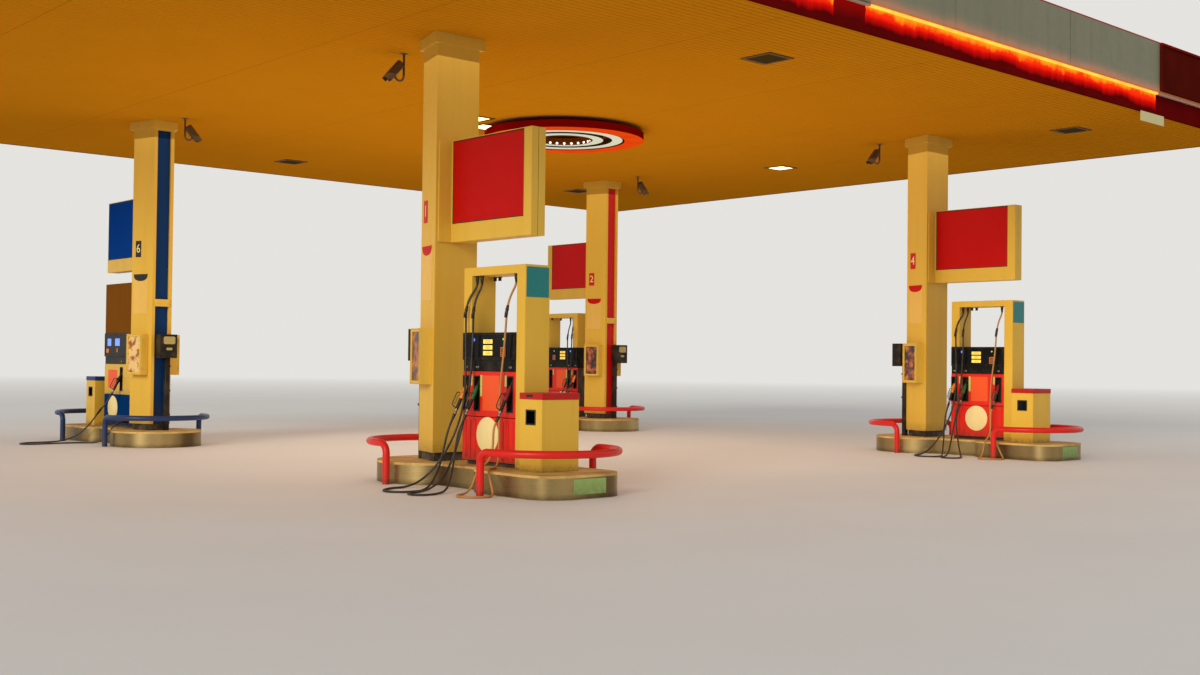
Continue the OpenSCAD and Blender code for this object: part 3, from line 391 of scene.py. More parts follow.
def hose_rubber():
    """Rubber hose: spiral ribs too fine to see as shapes, dust on top and a dull sheen."""
    p = Paint("hose_rubber")
    dust = p.span(p.noise(6, 5, 0.65), 0.42, 0.72, 0, 0.35)
    p.base(p.mix(dust, srgb(26, 23, 20), srgb(96, 80, 56)))
    p.dull(p.noise(18, 3), 0.42, 0.62)
    p.bump(p.cells(520), 0.0003, 0.6)


def concrete():
    """Painted concrete of the islands: stains, pores and dirt at the ground."""
    p = Paint("island_concrete", "islands", Specular_IOR_Level=0.15)
    stain = p.span(p.noise(2.6, 6, 0.62), 0.35, 0.72)
    tone = p.mix(stain, srgb(206, 170, 98), srgb(150, 116, 66))
    speck = p.span(p.noise(70, 3, 0.7), 0.55, 0.75, 0, 0.5)
    tone = p.mix(speck, tone, srgb(96, 78, 48))
    pore = p.span(p.cells(95), 0.02, 0.12, 1, 0)
    tone = p.mix(p.times(pore, 0.5), tone, srgb(70, 56, 38))
    p.base(p.mix(p.span(p.z, 0.0, 0.1, 0.6, 0), tone, srgb(84, 66, 42)))
    p.set("Roughness", p.span(stain, 0, 1, 0.62, 0.86))
    p.bump(p.minus(p.noise(48, 6), pore), 0.003, 0.7)


def skirt():
    """Stainless sheet round the islands: soft upright bands of painted reflection, a few dull scuffs and dirt
    at the foot.
    """
    p = Paint("skirt_steel", "island_skirts", Metallic=0.85)
    # Painted reflection: light and dark upright bands, as the steel mirrors the lit station
    painted_light_wave = p.noise(1, 2, 0.4, (1.7, 1.7, 0.05))
    brush = p.noise(1, 3, 0.5, (4, 4, 170))
    tone = p.mix(p.span(painted_light_wave, 0.3, 0.7), srgb(92, 74, 44), srgb(196, 170, 112))
    tone = p.mix(p.times(brush, 0.2), tone, srgb(96, 84, 62))
    scuff = p.span(p.noise(3.4, 4, 0.6), 0.56, 0.8, 0, 0.35)
    tone = p.mix(scuff, tone, srgb(88, 72, 48))
    foot = p.times(p.span(p.z, 0.0, 0.07, 0.8, 0), p.span(p.noise(9, 4), 0.3, 0.7, 0.5, 1))
    p.base(p.mix(foot, tone, srgb(58, 46, 30)))
    p.set("Roughness", p.plus(p.span(brush, 0.3, 0.7, 0.26, 0.4), scuff))
    p.bump(brush, 0.0003, 0.4)


def bin_sheet():
    """Cream sheet of the bins, with painted shade inside them."""
    p = painted("bin_cream", (220, 176, 60), 0.4, 0.06, 0.14, "bins", foot=(0.26, 0.34))
    across = p.size(p.minus(p.x, BAY_SHIFT))
    across = p.size(p.minus(across, BAY_X / 2))
    outward = p.size(p.minus(p.y, ROW_SHIFT))
    outward = p.size(p.minus(outward, BAY_Y / 2 + BIN_Y))
    # Painted shade: the inside of each bin, seen through its slot, is darkened
    painted_shade_inside = p.times(p.below(across, BIN_INSIDE[0]), p.below(outward, BIN_INSIDE[1]))
    source = p.shader.inputs["Base Color"].links[0].from_socket
    p.base(p.mix(painted_shade_inside, source, srgb(30, 26, 20)))


def under_name(p):
    """1 under the name panel, where the light strip is dark, 0 elsewhere."""
    along_panel = p.above(p.x, NAME_X)
    return p.times(along_panel, p.below(p.y, NEAR_Y))


def dark_tube(p):
    """1 where the tube of the near side is out."""
    ragged = p.plus(p.x, p.times(p.noise(9, 2), 0.12))
    gap = p.inside(ragged, *DARK_TUBE)
    return p.times(gap, p.below(p.y, NEAR_Y))


def band():
    """Dark red band with the warm light of the strip above it, which fades downwards unevenly."""
    sides = "band_near band_far band_left band_right"
    p = Paint("band_red", sides, Emission_Strength=1.1, Specular_IOR_Level=0.0)
    run = p.plus(p.x, p.y)
    painted_light_wave = p.size(p.math("SINE", p.times(run, 1.9)))
    slow = p.plus(p.times(painted_light_wave, 0.05), p.times(p.noise(0.9, 2), 0.16))
    depth = p.plus(slow, p.times(p.noise(7, 3, 0.6, (1, 1, 0.1)), 0.14))
    drop = p.minus(BAND_TOP, p.z)
    near = p.minus(1.0, p.over(drop, p.plus(depth, 0.06)), clamp=True)
    near = p.times(near, p.minus(1.0, p.times(dark_tube(p), 0.85)))
    near = p.times(near, p.minus(1.0, under_name(p)))
    hot = p.plus(near, p.times(p.minus(p.noise(4, 3), 0.5), 0.9))
    hot = p.times(hot, p.above(near, 0.3))
    glow = p.mix(p.span(near, 0.0, 0.4), (0, 0, 0), srgb(196, 10, 4))
    glow = p.mix(p.span(near, 0.36, 0.7), glow, srgb(255, 52, 8))
    p.glow(p.mix(p.span(hot, 0.6, 0.95), glow, srgb(255, 158, 26)))
    p.base(p.mix(p.noise(2, 4), srgb(78, 6, 8), srgb(112, 12, 12)))
    p.dull(p.noise(9, 4), 0.4, 0.55)
    p.bump(p.noise(160, 2), 0.0005)


def light_strip():
    """Lit tubes in the corner, end to end; on the near side one is dark, and those under the name panel."""
    p = Paint("strip_light", "light_strips", Emission_Strength=1.7, Specular_IOR_Level=0.1)
    out = p.inside(p.x, *DARK_TUBE)
    out = p.most(p.times(out, p.below(p.y, 0.0)), under_name(p))
    warm = p.mix(p.noise(3.5, 3), srgb(255, 96, 14), srgb(255, 184, 60))
    p.base(p.mix(out, srgb(255, 180, 90), srgb(196, 178, 150)))
    p.glow(p.mix(out, warm, (0.02, 0.01, 0.01)))
    p.dull(p.noise(30, 2), 0.25, 0.4)


def ring_wall():
    """Ring light: a dark red wall, a glowing orange underside on the outer band, brown towards its middle."""
    p = Paint("ring_red", "ring_light", Emission_Strength=1.0, Specular_IOR_Level=0.0)
    x = p.minus(p.x, RING[0])
    y = p.minus(p.y, RING[1])
    radius = p.math("SQRT", p.plus(p.times(x, x), p.times(y, y)))
    outer = p.above(radius, 1.0)
    under = p.times(outer, p.below(p.z, RING_UNDER))
    glow = p.mix(p.noise(2.5, 3), srgb(206, 46, 6), srgb(232, 80, 12))
    p.glow(p.mix(under, (0, 0, 0), glow))
    tone = p.mix(p.noise(3, 4), srgb(112, 6, 6), srgb(150, 10, 8))
    brown = p.mix(p.noise(6, 4), srgb(92, 46, 14), srgb(124, 66, 20))
    p.base(p.mix(outer, brown, p.mix(under, tone, srgb(70, 18, 6))))
    p.dull(p.noise(12, 4), 0.36, 0.5)
    p.bump(p.noise(140, 2), 0.0005)


def ring_glass():
    """Lens rings of the ring light: pale light below, dark edges."""
    p = Paint("ring_glass", "ring_light_glasses", Specular_IOR_Level=0.3)
    rib = p.noise(40, 2)
    under = p.below(p.z, RING_GLASS_UNDER)
    p.set("Emission Strength", p.times(under, p.span(rib, 0.3, 0.7, 0.7, 0.95)))
    p.glow(srgb(196, 206, 184))
    p.base(p.mix(under, srgb(62, 34, 14), p.mix(rib, srgb(104, 108, 98), srgb(128, 132, 120))))
    p.dull(rib, 0.25, 0.4)
    p.bump(rib, 0.0004)


def lamp_glass():
    """Ribbed glass of the soffit lamps. Three of them are lit."""
    p = Paint("lamp_glass", "lamp_glasses", Emission_Strength=4.0, Specular_IOR_Level=0.0)
    rib = p.math("SINE", p.times(p.x, 420))
    on = None
    for x, y in LAMPS_LIT:
        here = p.times(p.inside(p.x, x - 0.3, x + 0.3), p.inside(p.y, y - 0.25, y + 0.25))
        on = here if on is None else p.most(on, here)
    ribs = p.span(rib, -1, 1, 0.75, 1)
    warm = p.mix(ribs, srgb(255, 190, 60), srgb(255, 226, 150))
    p.glow(p.mix(on, (0.004, 0.003, 0.001), warm))
    p.base(p.mix(ribs, srgb(38, 28, 10), srgb(56, 40, 16)))
    p.set("Roughness", p.span(ribs, 0.75, 1, 0.2, 0.34))
    p.bump(rib, 0.0008)


def poster():
    """A dark picture of soft patches without any subject; the one on the gas island is pale."""
    p = Paint("poster", "poster_boards", Coat_Weight=0.25, Coat_Roughness=0.1)
    patch = p.noise(8, 4, 0.6)
    block = p.cells(11, output="Color")
    warm = p.mix(p.span(patch, 0.42, 0.62), srgb(44, 26, 30), srgb(176, 74, 34))
    dark = p.mix(p.times(p.span(patch, 0.5, 0.7), 0.6), warm, srgb(214, 160, 60))
    dark = p.mix(0.25, dark, block, "MULTIPLY")
    pale = p.mix(p.span(patch, 0.5, 0.6), srgb(222, 186, 112), srgb(150, 74, 30))
    gas = p.times(p.below(p.x, 0.0), p.above(p.y, 0.0))
    p.base(p.mix(gas, dark, pale))
    p.dull(patch, 0.25, 0.4)


def name_face():
    """Blank name panel: dark red brown, with a red rim that stands proud."""
    p = Paint("name_panel", "name_panel", Specular_IOR_Level=0.0)
    rim = p.above(p.z, NAME_RIM)
    cloud = p.noise(2.3, 4)
    tone = p.mix(cloud, srgb(62, 14, 8), srgb(92, 22, 14))
    p.base(p.mix(rim, tone, srgb(120, 18, 14)))
    p.dull(cloud, 0.28, 0.44)
    p.bump(p.noise(130, 2), 0.0006)


def fascia():
    """Pale fascia sheet with a joint every few metres, a red edge along the top, and the light strip's glow
    painted on its lower edge.
    """
    solids, joints = "fascia_near fascia_far", [("X", 2.84, 0.012, 0.285)]
    p = painted("fascia_sheet", (127, 126, 103), 0.42, 0.08, 0.2, solids, joint_and_gap_lines=joints, shine=0.12)
    top = p.above(p.z, FASCIA_RIM)
    source = p.shader.inputs["Base Color"].links[0].from_socket
    p.base(p.mix(top, source, srgb(150, 40, 32)))
    # Painted light: the strip's glow on the lower edge of the sheet, none where the near tube is dark
    painted_strip_glow = p.span(p.plus(p.z, p.times(p.noise(3, 2), 0.1)), 5.78, 5.94, 1, 0)
    painted_strip_glow = p.times(painted_strip_glow, p.minus(1.0, dark_tube(p)))
    p.glow(p.mix(p.math("POWER", painted_strip_glow, 2.0), (0, 0, 0), srgb(176, 70, 14)))
    p.set("Emission Strength", 0.5)


for finish in (hose_rubber, concrete, skirt, band, light_strip, ring_wall, ring_glass, lamp_glass, poster,
               bin_sheet, name_face, fascia):
    finish()

# Shapes


def rounded(width, height, radius, steps=5):
    """Outline of a rectangle with round corners, counter-clockwise."""
    points = []
    for quarter, (sx, sy) in enumerate(((1, 1), (-1, 1), (-1, -1), (1, -1))):
        cx, cy = sx * (width / 2 - radius), sy * (height / 2 - radius)
        for k in range(steps + 1):
            a = math.pi / 2 * (quarter + k / steps)
            points.append((cx + radius * math.cos(a), cy + radius * math.sin(a)))
    return points


def circle(centre, u, v, radius, sides):
    """Corners round a centre in the plane of u and v."""
    turns = [math.tau * k / sides for k in range(sides)]
    return [centre + (u * math.cos(a) + v * math.sin(a)) * radius for a in turns]


class Build:
    """Collects closed shells for one piece. at is the matrix that new shells are placed with."""

    def __init__(self):
        self.corners = []
        self.faces = []
        self.at = Matrix()

    def add(self, corners, faces):
        start = len(self.corners)
        self.corners += [self.at @ Vector(c) for c in corners]
        mirrored = self.at.determinant() < 0
        for face in faces:
            face = tuple(reversed(face)) if mirrored else face
            self.faces.append(tuple(start + i for i in face))

    def sleeve(self, corners, sides):
        """A closed shell over rings of corners, one ring after another."""
        last = len(corners) - sides
        faces = [list(range(sides))[::-1], list(range(last, last + sides))]
        for ring in range(0, last, sides):
            for k in range(sides):
                m = (k + 1) % sides
                faces.append([ring + k, ring + m, ring + sides + m, ring + sides + k])
        self.add(corners, faces)

    def box(self, low, high, edge=0.003):
        """A box with chamfered edges."""
        low, high = Vector(map(min, low, high)), Vector(map(max, low, high))
        edge = min([edge, *((high - low) * 0.45)])
        corners, index = [], {}
        for signs in product((0, 1), repeat=3):
            for flat in range(3):
                inset = Vector(0 if axis == flat else edge for axis in range(3))
                ends = (low + inset, high - inset)
                index[signs, flat] = len(corners)
                corners.append(Vector(ends[sign][axis] for axis, sign in enumerate(signs)))

        def corner(axis, end, pa, pb, flat):
            signs = [0, 0, 0]
            signs[axis], signs[(axis + 1) % 3], signs[(axis + 2) % 3] = end, pa, pb
            return index[tuple(signs), flat]

        faces = [[index[signs, flat] for flat in range(3)] for signs in product((0, 1), repeat=3)]
        for axis in range(3):
            a, b = (axis + 1) % 3, (axis + 2) % 3
            for end in (0, 1):
                faces.append([corner(axis, end, pa, pb, axis) for pa, pb in ((0, 0), (1, 0), (1, 1), (0, 1))])
            for pa, pb in product((0, 1), repeat=2):
                ring = ((0, a), (1, a), (1, b), (0, b))
                faces.append([corner(axis, end, pa, pb, flat) for end, flat in ring])
        for ring in faces:
            p = [corners[i] for i in ring]
            outwards = sum(p, Vector()) / len(p) - (low + high) / 2
            if (p[1] - p[0]).cross(p[2] - p[1]).dot(outwards) < 0:
                ring.reverse()
        self.add(corners, faces)

    def turned(self, start, axis, profile, sides=24):
        """A turned shell: profile is (distance along axis, radius), from one end to the other."""
        start, axis = Vector(start), axis.normalized()
        u = axis.orthogonal().normalized()
        corners = []
        for along, radius in profile:
            corners += circle(start + axis * along, u, axis.cross(u), radius, sides)
        self.sleeve(corners, sides)

    def tube(self, path, radius, sides=12):
        """A round bar along a path."""
        path = [Vector(p) for p in path]
        across = (path[1] - path[0]).orthogonal().normalized()
        corners = []
        for before, point, after in zip(path[:1] + path, path, path[1:] + path[-1:]):
            forward = (after - before).normalized()
            across = (across - forward * across.dot(forward)).normalized()
            corners += circle(point, across, forward.cross(across), radius, sides)
        self.sleeve(corners, sides)

    def prism(self, outline, origin, u, v, depth):
        """An outline in the plane of u and v, drawn out along their cross product by depth."""
        out = u.cross(v).normalized() * depth
        corners = [Vector(origin) + u * a + v * b for a, b in outline]
        self.sleeve(corners + [c + out for c in corners], len(outline))

    def frame(self, origin, u, v, outer, inner, depth):
        """A rectangular ring: outer and inner are (width, height), centred on origin."""
        out = u.cross(v).normalized() * depth
        corners = []
        for width, height in (outer, inner):
            for lift in (Vector(), out):
                for a, b in ((-1, -1), (1, -1), (1, 1), (-1, 1)):
                    corners.append(Vector(origin) + u * a * width / 2 + v * b * height / 2 + lift)
        faces = []
        for k in range(4):
            m = (k + 1) % 4
            faces.append([k, m, 4 + m, 4 + k])
            faces.append([8 + m, 8 + k, 12 + k, 12 + m])
            faces.append([4 + k, 4 + m, 12 + m, 12 + k])
            faces.append([m, k, 8 + k, 8 + m])
        self.add(corners, faces)

    def piece(self, name, finish, slot=None):
        """Makes the object, riding on the part, with the finish in its slot. The slot argument is not used.
        """
        mesh = bpy.data.meshes.new(name)
        mesh.from_pydata([tuple(c) for c in self.corners], [], self.faces)
        mesh.validate()
        mesh.materials.append(M[finish])
        made = put(name, mesh)
        mesh.shade_smooth()
        mesh.set_sharp_from_angle(angle=SHARP)
        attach(made, "root")
        return made


def round_islands(*builds, sides=(-1,)):
    """Goes round the islands and the sides of each, with the builds placed there."""
    for island in ISLANDS:
        for side in sides:
            for build in builds:
                build.at = place(island, side)
            yield island, side


X, Y, Z = Vector((1, 0, 0)), Vector((0, 1, 0)), Vector((0, 0, 1))

# Hoses

# The same points as the routes of the CAD part, in millimetres, from the outlet to the nozzle
ROUTE_NEAR = [
    (-130, 845, 2396), (-130, 844, 2350), (-142, 832, 2296), (-170, 808, 2240), (-200, 788, 2175),
    (-222, 775, 2090), (-232, 770, 1975), (-235, 773, 1830), (-236, 778, 1660), (-237, 784, 1470),
    (-241, 786, 1250), (-256, 782, 1030), (-290, 768, 820), (-344, 738, 630), (-414, 694, 450),
    (-500, 644, 290), (-608, 598, 155), (-742, 568, 60), (-905, 564, 17), (-1080, 590, 15),
    (-1240, 670, 15), (-1340, 790, 15), (-1350, 930, 15), (-1260, 1040, 15), (-1120, 1060, 15),
    (-970, 1000, 16), (-820, 915, 50), (-690, 840, 140), (-590, 785, 260), (-510, 740, 420),
    (-450, 716, 580), (-415, 710, 670), (-388, 710, 732), (-361, 710, 786), (-334, 710, 840),
]
ROUTE_MID = [
    (-130, 935, 2396), (-130, 934, 2350), (-141, 929, 2298), (-168, 921, 2240), (-198, 915, 2170),
    (-221, 912, 2080), (-232, 912, 1960), (-235, 912, 1810), (-236, 908, 1640), (-238, 898, 1450),
    (-242, 882, 1240), (-262, 864, 1020), (-300, 852, 800), (-355, 850, 605), (-425, 860, 430),
    (-505, 880, 290), (-600, 918, 175), (-710, 970, 100), (-830, 1030, 60), (-960, 1085, 28),
    (-1090, 1120, 15), (-1215, 1160, 15), (-1320, 1235, 15), (-1345, 1345, 15), (-1275, 1435, 15),
    (-1150, 1445, 15), (-1020, 1390, 16), (-905, 1315, 24), (-800, 1235, 60), (-690, 1140, 150),
    (-590, 1050, 290), (-505, 970, 460), (-445, 930, 610), (-412, 925, 684), (-388, 925, 732),
    (-361, 925, 786), (-334, 925, 840),
]
ROUTE_FAR = [
    (-130, 1568, 2396), (-130, 1567, 2350), (-141, 1562, 2298), (-168, 1553, 2240), (-198, 1545, 2170),
    (-221, 1537, 2080), (-232, 1529, 1960), (-235, 1518, 1810), (-236, 1502, 1640), (-237, 1480, 1470),
    (-238, 1456, 1300), (-238, 1438, 1120), (-238, 1430, 930), (-238, 1428, 760), (-239, 1429, 620),
    (-242, 1434, 500), (-254, 1446, 400), (-284, 1468, 322), (-332, 1502, 282), (-390, 1545, 273),
    (-448, 1588, 273), (-505, 1634, 275), (-560, 1684, 281), (-610, 1736, 283), (-653, 1786, 262),
    (-681, 1832, 212), (-694, 1874, 148), (-704, 1914, 84), (-726, 1954, 38), (-772, 1990, 17),
    (-838, 2010, 15), (-908, 2004, 15), (-975, 1974, 15), (-1030, 1920, 15), (-1058, 1850, 15),
    (-1054, 1776, 15), (-1018, 1710, 15), (-958, 1664, 15), (-890, 1640, 17), (-826, 1628, 34),
    (-772, 1618, 72), (-732, 1610, 124), (-704, 1604, 180), (-672, 1598, 232), (-628, 1590, 276),
    (-570, 1582, 310), (-510, 1572, 346), (-460, 1561, 398), (-429, 1551, 462), (-414, 1544, 532),
    (-408, 1540, 604), (-402, 1537, 674), (-386, 1536, 736), (-361, 1536, 786), (-334, 1536, 840),
]
ROUTE_GAS = [
    (-221, 620, 362), (-262, 620, 362), (-304, 621, 358), (-348, 626, 344), (-392, 636, 316),
    (-430, 651, 272), (-460, 670, 218), (-486, 694, 160), (-514, 726, 106), (-548, 768, 62),
    (-594, 822, 31), (-656, 886, 17), (-732, 948, 15), (-824, 1000, 15), (-930, 1034, 15),
    (-1050, 1050, 15), (-1180, 1048, 15), (-1310, 1030, 15), (-1440, 1004, 15), (-1560, 990, 15),
    (-1665, 1012, 15), (-1732, 1084, 15), (-1745, 1184, 15), (-1702, 1290, 15), (-1612, 1374, 15),
    (-1500, 1426, 15), (-1370, 1450, 15), (-1240, 1458, 15), (-1110, 1452, 17), (-985, 1426, 32),
    (-870, 1380, 66), (-770, 1316, 125), (-690, 1240, 205), (-625, 1165, 300), (-570, 1098, 405),
    (-520, 1036, 510), (-470, 980, 600), (-425, 940, 672), (-388, 925, 732), (-361, 925, 786),
    (-334, 925, 840),
]
ROUTES = [(ROUTE_NEAR, "hose_rubber"), (ROUTE_MID, "hose_rubber"), (ROUTE_FAR, "hose_tan")]
# How far along its hose the break-away coupling sits: at the header, or near the gas nozzle
COUPLING, GAS_COUPLING = 0.33, 3.6


def smooth_path(points, steps):
    """The CAD part's smooth curve through a route's points."""
    p = [Vector(q) / 1000 for q in points]
    last = len(p) - 1
    path = []
    for i in range(last):
        a, b, c, d = p[max(i - 1, 0)], p[i], p[i + 1], p[min(i + 2, last)]
        for s in range(steps):
            t = s / steps
            path.append(0.5 * (2 * b + (c - a) * t + (2 * a - 5 * b + 4 * c - d) * t * t
                               + (3 * b - a - 3 * c + d) * t ** 3))
    return path + [p[last]]


def along(path, distance):
    """The point at a distance along a path, and the direction there."""
    for a, b in zip(path, path[1:]):
        step = (b - a).length
        if distance <= step:
            return a + (b - a) * (distance / step), (b - a).normalized()
        distance -= step
    return path[-1], (path[-1] - path[-2]).normalized()


def hose(name, island, points, finish):
    to_row = place(island)
    path = smooth_path(points, 6)
    curve = bpy.data.curves.new(name + "_hose", "CURVE")
    curve.dimensions = "3D"
    curve.bevel_depth = HOSE_D / 2
    curve.bevel_resolution = 3
    curve.use_fill_caps = True
    spline = curve.splines.new("POLY")
    spline.points.add(len(path) - 1)
    for point, at in zip(spline.points, path):
        point.co = (*(to_row @ at), 1)
    spline.use_smooth = True
    curve.materials.append(M[finish])
    made = put(name + "_rubber", curve)
    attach(made, "root")
    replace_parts(made, name)

    fit = Build()
    fit.at = to_row
    at, way = along(path, 0.0)
    fit.turned(at, way, [(0, 0.019), (0.012, 0.019), (0.016, 0.0165), (0.055, 0.0135), (0.058, 0.0128)])
    at, way = along(path, GAS_COUPLING if island == FAR_LEFT else COUPLING)
    fit.turned(at, way, [(0, 0.0145), (0.006, 0.017), (0.035, 0.017), (0.041, 0.021), (0.05, 0.021),
                         (0.055, 0.0185), (0.085, 0.0185), (0.09, 0.021), (0.1, 0.021), (0.106, 0.017),
                         (0.135, 0.017), (0.141, 0.0145)])
    whole = sum((b - a).length for a, b in zip(path, path[1:]))
    at, way = along(path, whole - 0.075)
    fit.turned(at, way, [(0, 0.0135), (0.045, 0.0175), (0.06, 0.0185), (0.075, 0.0185)])
    fittings = fit.piece(name + "_fittings", "outlet_black")


for island, corner, count in (
    (NEAR_LEFT, "near_left", 3), (NEAR_RIGHT, "near_right", 3), (FAR_RIGHT, "far_right", 2),
):
    for k, (route, finish) in enumerate(ROUTES[:count]):
        hose(f"hose_{corner}_{k + 1}", island, route, finish)
hose("hose_far_left_1", FAR_LEFT, ROUTE_GAS, "hose_rubber")

# Nozzles: along AXIS from the foot, where the hose ends; OUT is the side of the guard

TILT = math.atan(0.5)
AXIS = Vector((math.sin(TILT), 0, math.cos(TILT)))
OUT = Vector((-math.cos(TILT), 0, math.sin(TILT)))
FOOT_X, FOOT_Z = -0.334, 0.840
BOOTS = [0.710, 0.925, 1.536]
COLOURS = ["orange", "green", "dark_red", "black"]
HELD = list(zip(BOOTS, COLOURS))
NOZZLES = {NEAR_LEFT: HELD, NEAR_RIGHT: HELD, FAR_RIGHT: HELD[:2], FAR_LEFT: [(BOOTS[1], "black")]}
RIBS = [(0.06 + 0.02 * k + s, r) for k in range(7) for s, r in (
    (0, 0.0185), (0.004, 0.021), (0.014, 0.021), (0.018, 0.0185))]
COVER = [(0, 0.0215), (0.008, 0.0245), (0.03, 0.0262), (0.05, 0.027), (0.09, 0.027), (0.12, 0.0262),
         (0.145, 0.0225), (0.163, 0.0175), (0.172, 0.0145)]
SPOUT = [(0, 0.0135), (0.008, 0.0135), (0.012, 0.011), (0.094, 0.011), (0.097, 0.010), (0.1, 0.009)]
GUARD = [(0.25, 0.02), (0.252, 0.06), (0.245, 0.076), (0.225, 0.084), (0.16, 0.086), (0.10, 0.084),
         (0.082, 0.076), (0.074, 0.06), (0.072, 0.018)]
LEVER = [(0.235, 0.028), (0.222, 0.046), (0.19, 0.052), (0.13, 0.05), (0.1, 0.058)]


def on(y, a, o=0.0):
    """A point on the nozzle at y: a along it from its foot, and o out from its middle."""
    return Vector((FOOT_X, y, FOOT_Z)) + AXIS * a + OUT * o


covers = {colour: Build() for colour in COLOURS}
grips, steels = Build(), Build()
for island, held in NOZZLES.items():
    for y, colour in held:
        cover = covers[colour]
        cover.at = grips.at = steels.at = place(island)
        steels.turned(on(y, 0), AXIS, [(0, 0.0165), (0.004, 0.0195), (0.022, 0.0195), (0.026, 0.0165)], 6)
        steels.turned(on(y, 0.026), AXIS, [(0, 0.0145), (0.02, 0.0145), (0.034, 0.017)])
        grips.turned(on(y, 0), AXIS, RIBS, 20)
        cover.turned(on(y, 0.196), AXIS, COVER)
        cover.turned(on(y, 0.262, 0.004), OUT, [(0, 0.02), (0.032, 0.0185), (0.036, 0.016)], 20)
        steels.turned(on(y, 0.36), AXIS, SPOUT)
        grips.tube([on(y, a, o) for a, o in GUARD], 0.0055)
        steels.tube([on(y, a, o) for a, o in LEVER], 0.0045)
for colour, build in covers.items():
    build.piece("nozzle_covers_" + colour, "cover_" + colour, "boot_black")
grips.piece("nozzle_grips", "grip_black", "boot_black")
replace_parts(steels.piece("nozzle_spouts", "nozzle_metal"), "nozzles")

# Hose outlets: flange, swivel and nut
SWIVEL = [(0, 0.030), (0.006, 0.030), (0.008, 0.021), (0.02, 0.021), (0.022, 0.0175), (0.026, 0.0175)]
NUT = [(0, 0.0195), (0.002, 0.0215), (0.018, 0.0215), (0.02, 0.0195)]
OUTLETS = [Vector((-0.130, y, 2.442)) for y in (0.845, 0.935, 1.568)]
GAS_OUTLET = Vector((-FRONT, 0.62, 0.362))
outlets = Build()
for island, _ in round_islands(outlets, sides=BOTH):
    spots, way = ([GAS_OUTLET], -X) if island == FAR_LEFT else (OUTLETS, -Z)
    for spot in spots:
        outlets.turned(spot, way, SWIVEL)
        outlets.turned(spot + way * 0.026, way, NUT, 6)
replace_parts(outlets.piece("hose_swivels", "outlet_black"), "hose_outlets")

# Boots: a raised rim, a hook inside and a switch lever under the top edge
BOOT_BACK = -0.119
rims, hooks = Build(), Build()
for island, _ in round_islands(rims, hooks, sides=BOTH):
    for y in BOOTS[1:2] if island == FAR_LEFT else BOOTS:
        rims.frame((-FRONT, y, 1.082), -Y, Z, (0.116, 0.412), (0.088, 0.384), 0.005)
        hooks.box((-0.135, y - 0.018, 1.235), (BOOT_BACK, y + 0.018, 1.272), 0.004)
        hooks.box((-0.160, y - 0.030, 0.892), (BOOT_BACK, y + 0.030, 0.902), 0.002)
rims.piece("boot_rims", "boot_black")
hooks.piece("boot_hooks", "outlet_black")

# Display heads: the front faces of the head, of its glass and of what shines there
HEAD, GLASS, LIGHT = -0.182, -0.1845, -0.187
SILL_X, SILL_Z = -0.168, 1.386
THIN = 0.0008
SEGMENTS = {"0": "abcdef", "1": "bc", "2": "abdeg", "3": "abcdg", "4": "bcfg"}
BARS = {"a": (0, 1, 0), "b": (0.5, 0.5, 1), "c": (0.5, -0.5, 1), "d": (0, -1, 0),
        "e": (-0.5, -0.5, 1), "f": (-0.5, 0.5, 1), "g": (0, 0, 0)}


def number(build, text, y, z, x, high, right):
    """Seven-bar digits on a face that looks along -x; right is the sign of local y to the reader's right."""
    wide, bar = high * 0.5, high * 0.1
    for k, digit in enumerate(text):
        cy = y + right * (k - (len(text) - 1) / 2) * high * 0.75
        for name in SEGMENTS[digit]:
            dy, dz, upright = BARS[name]
            by, bz = cy + right * dy * wide, z + dz * high / 2
            half = (bar / 2, high * 0.2) if upright else (wide * 0.42, bar / 2)
            build.box((x - THIN, by - half[0], bz - half[1]), (x, by + half[0], bz + half[1]), 0.0001)


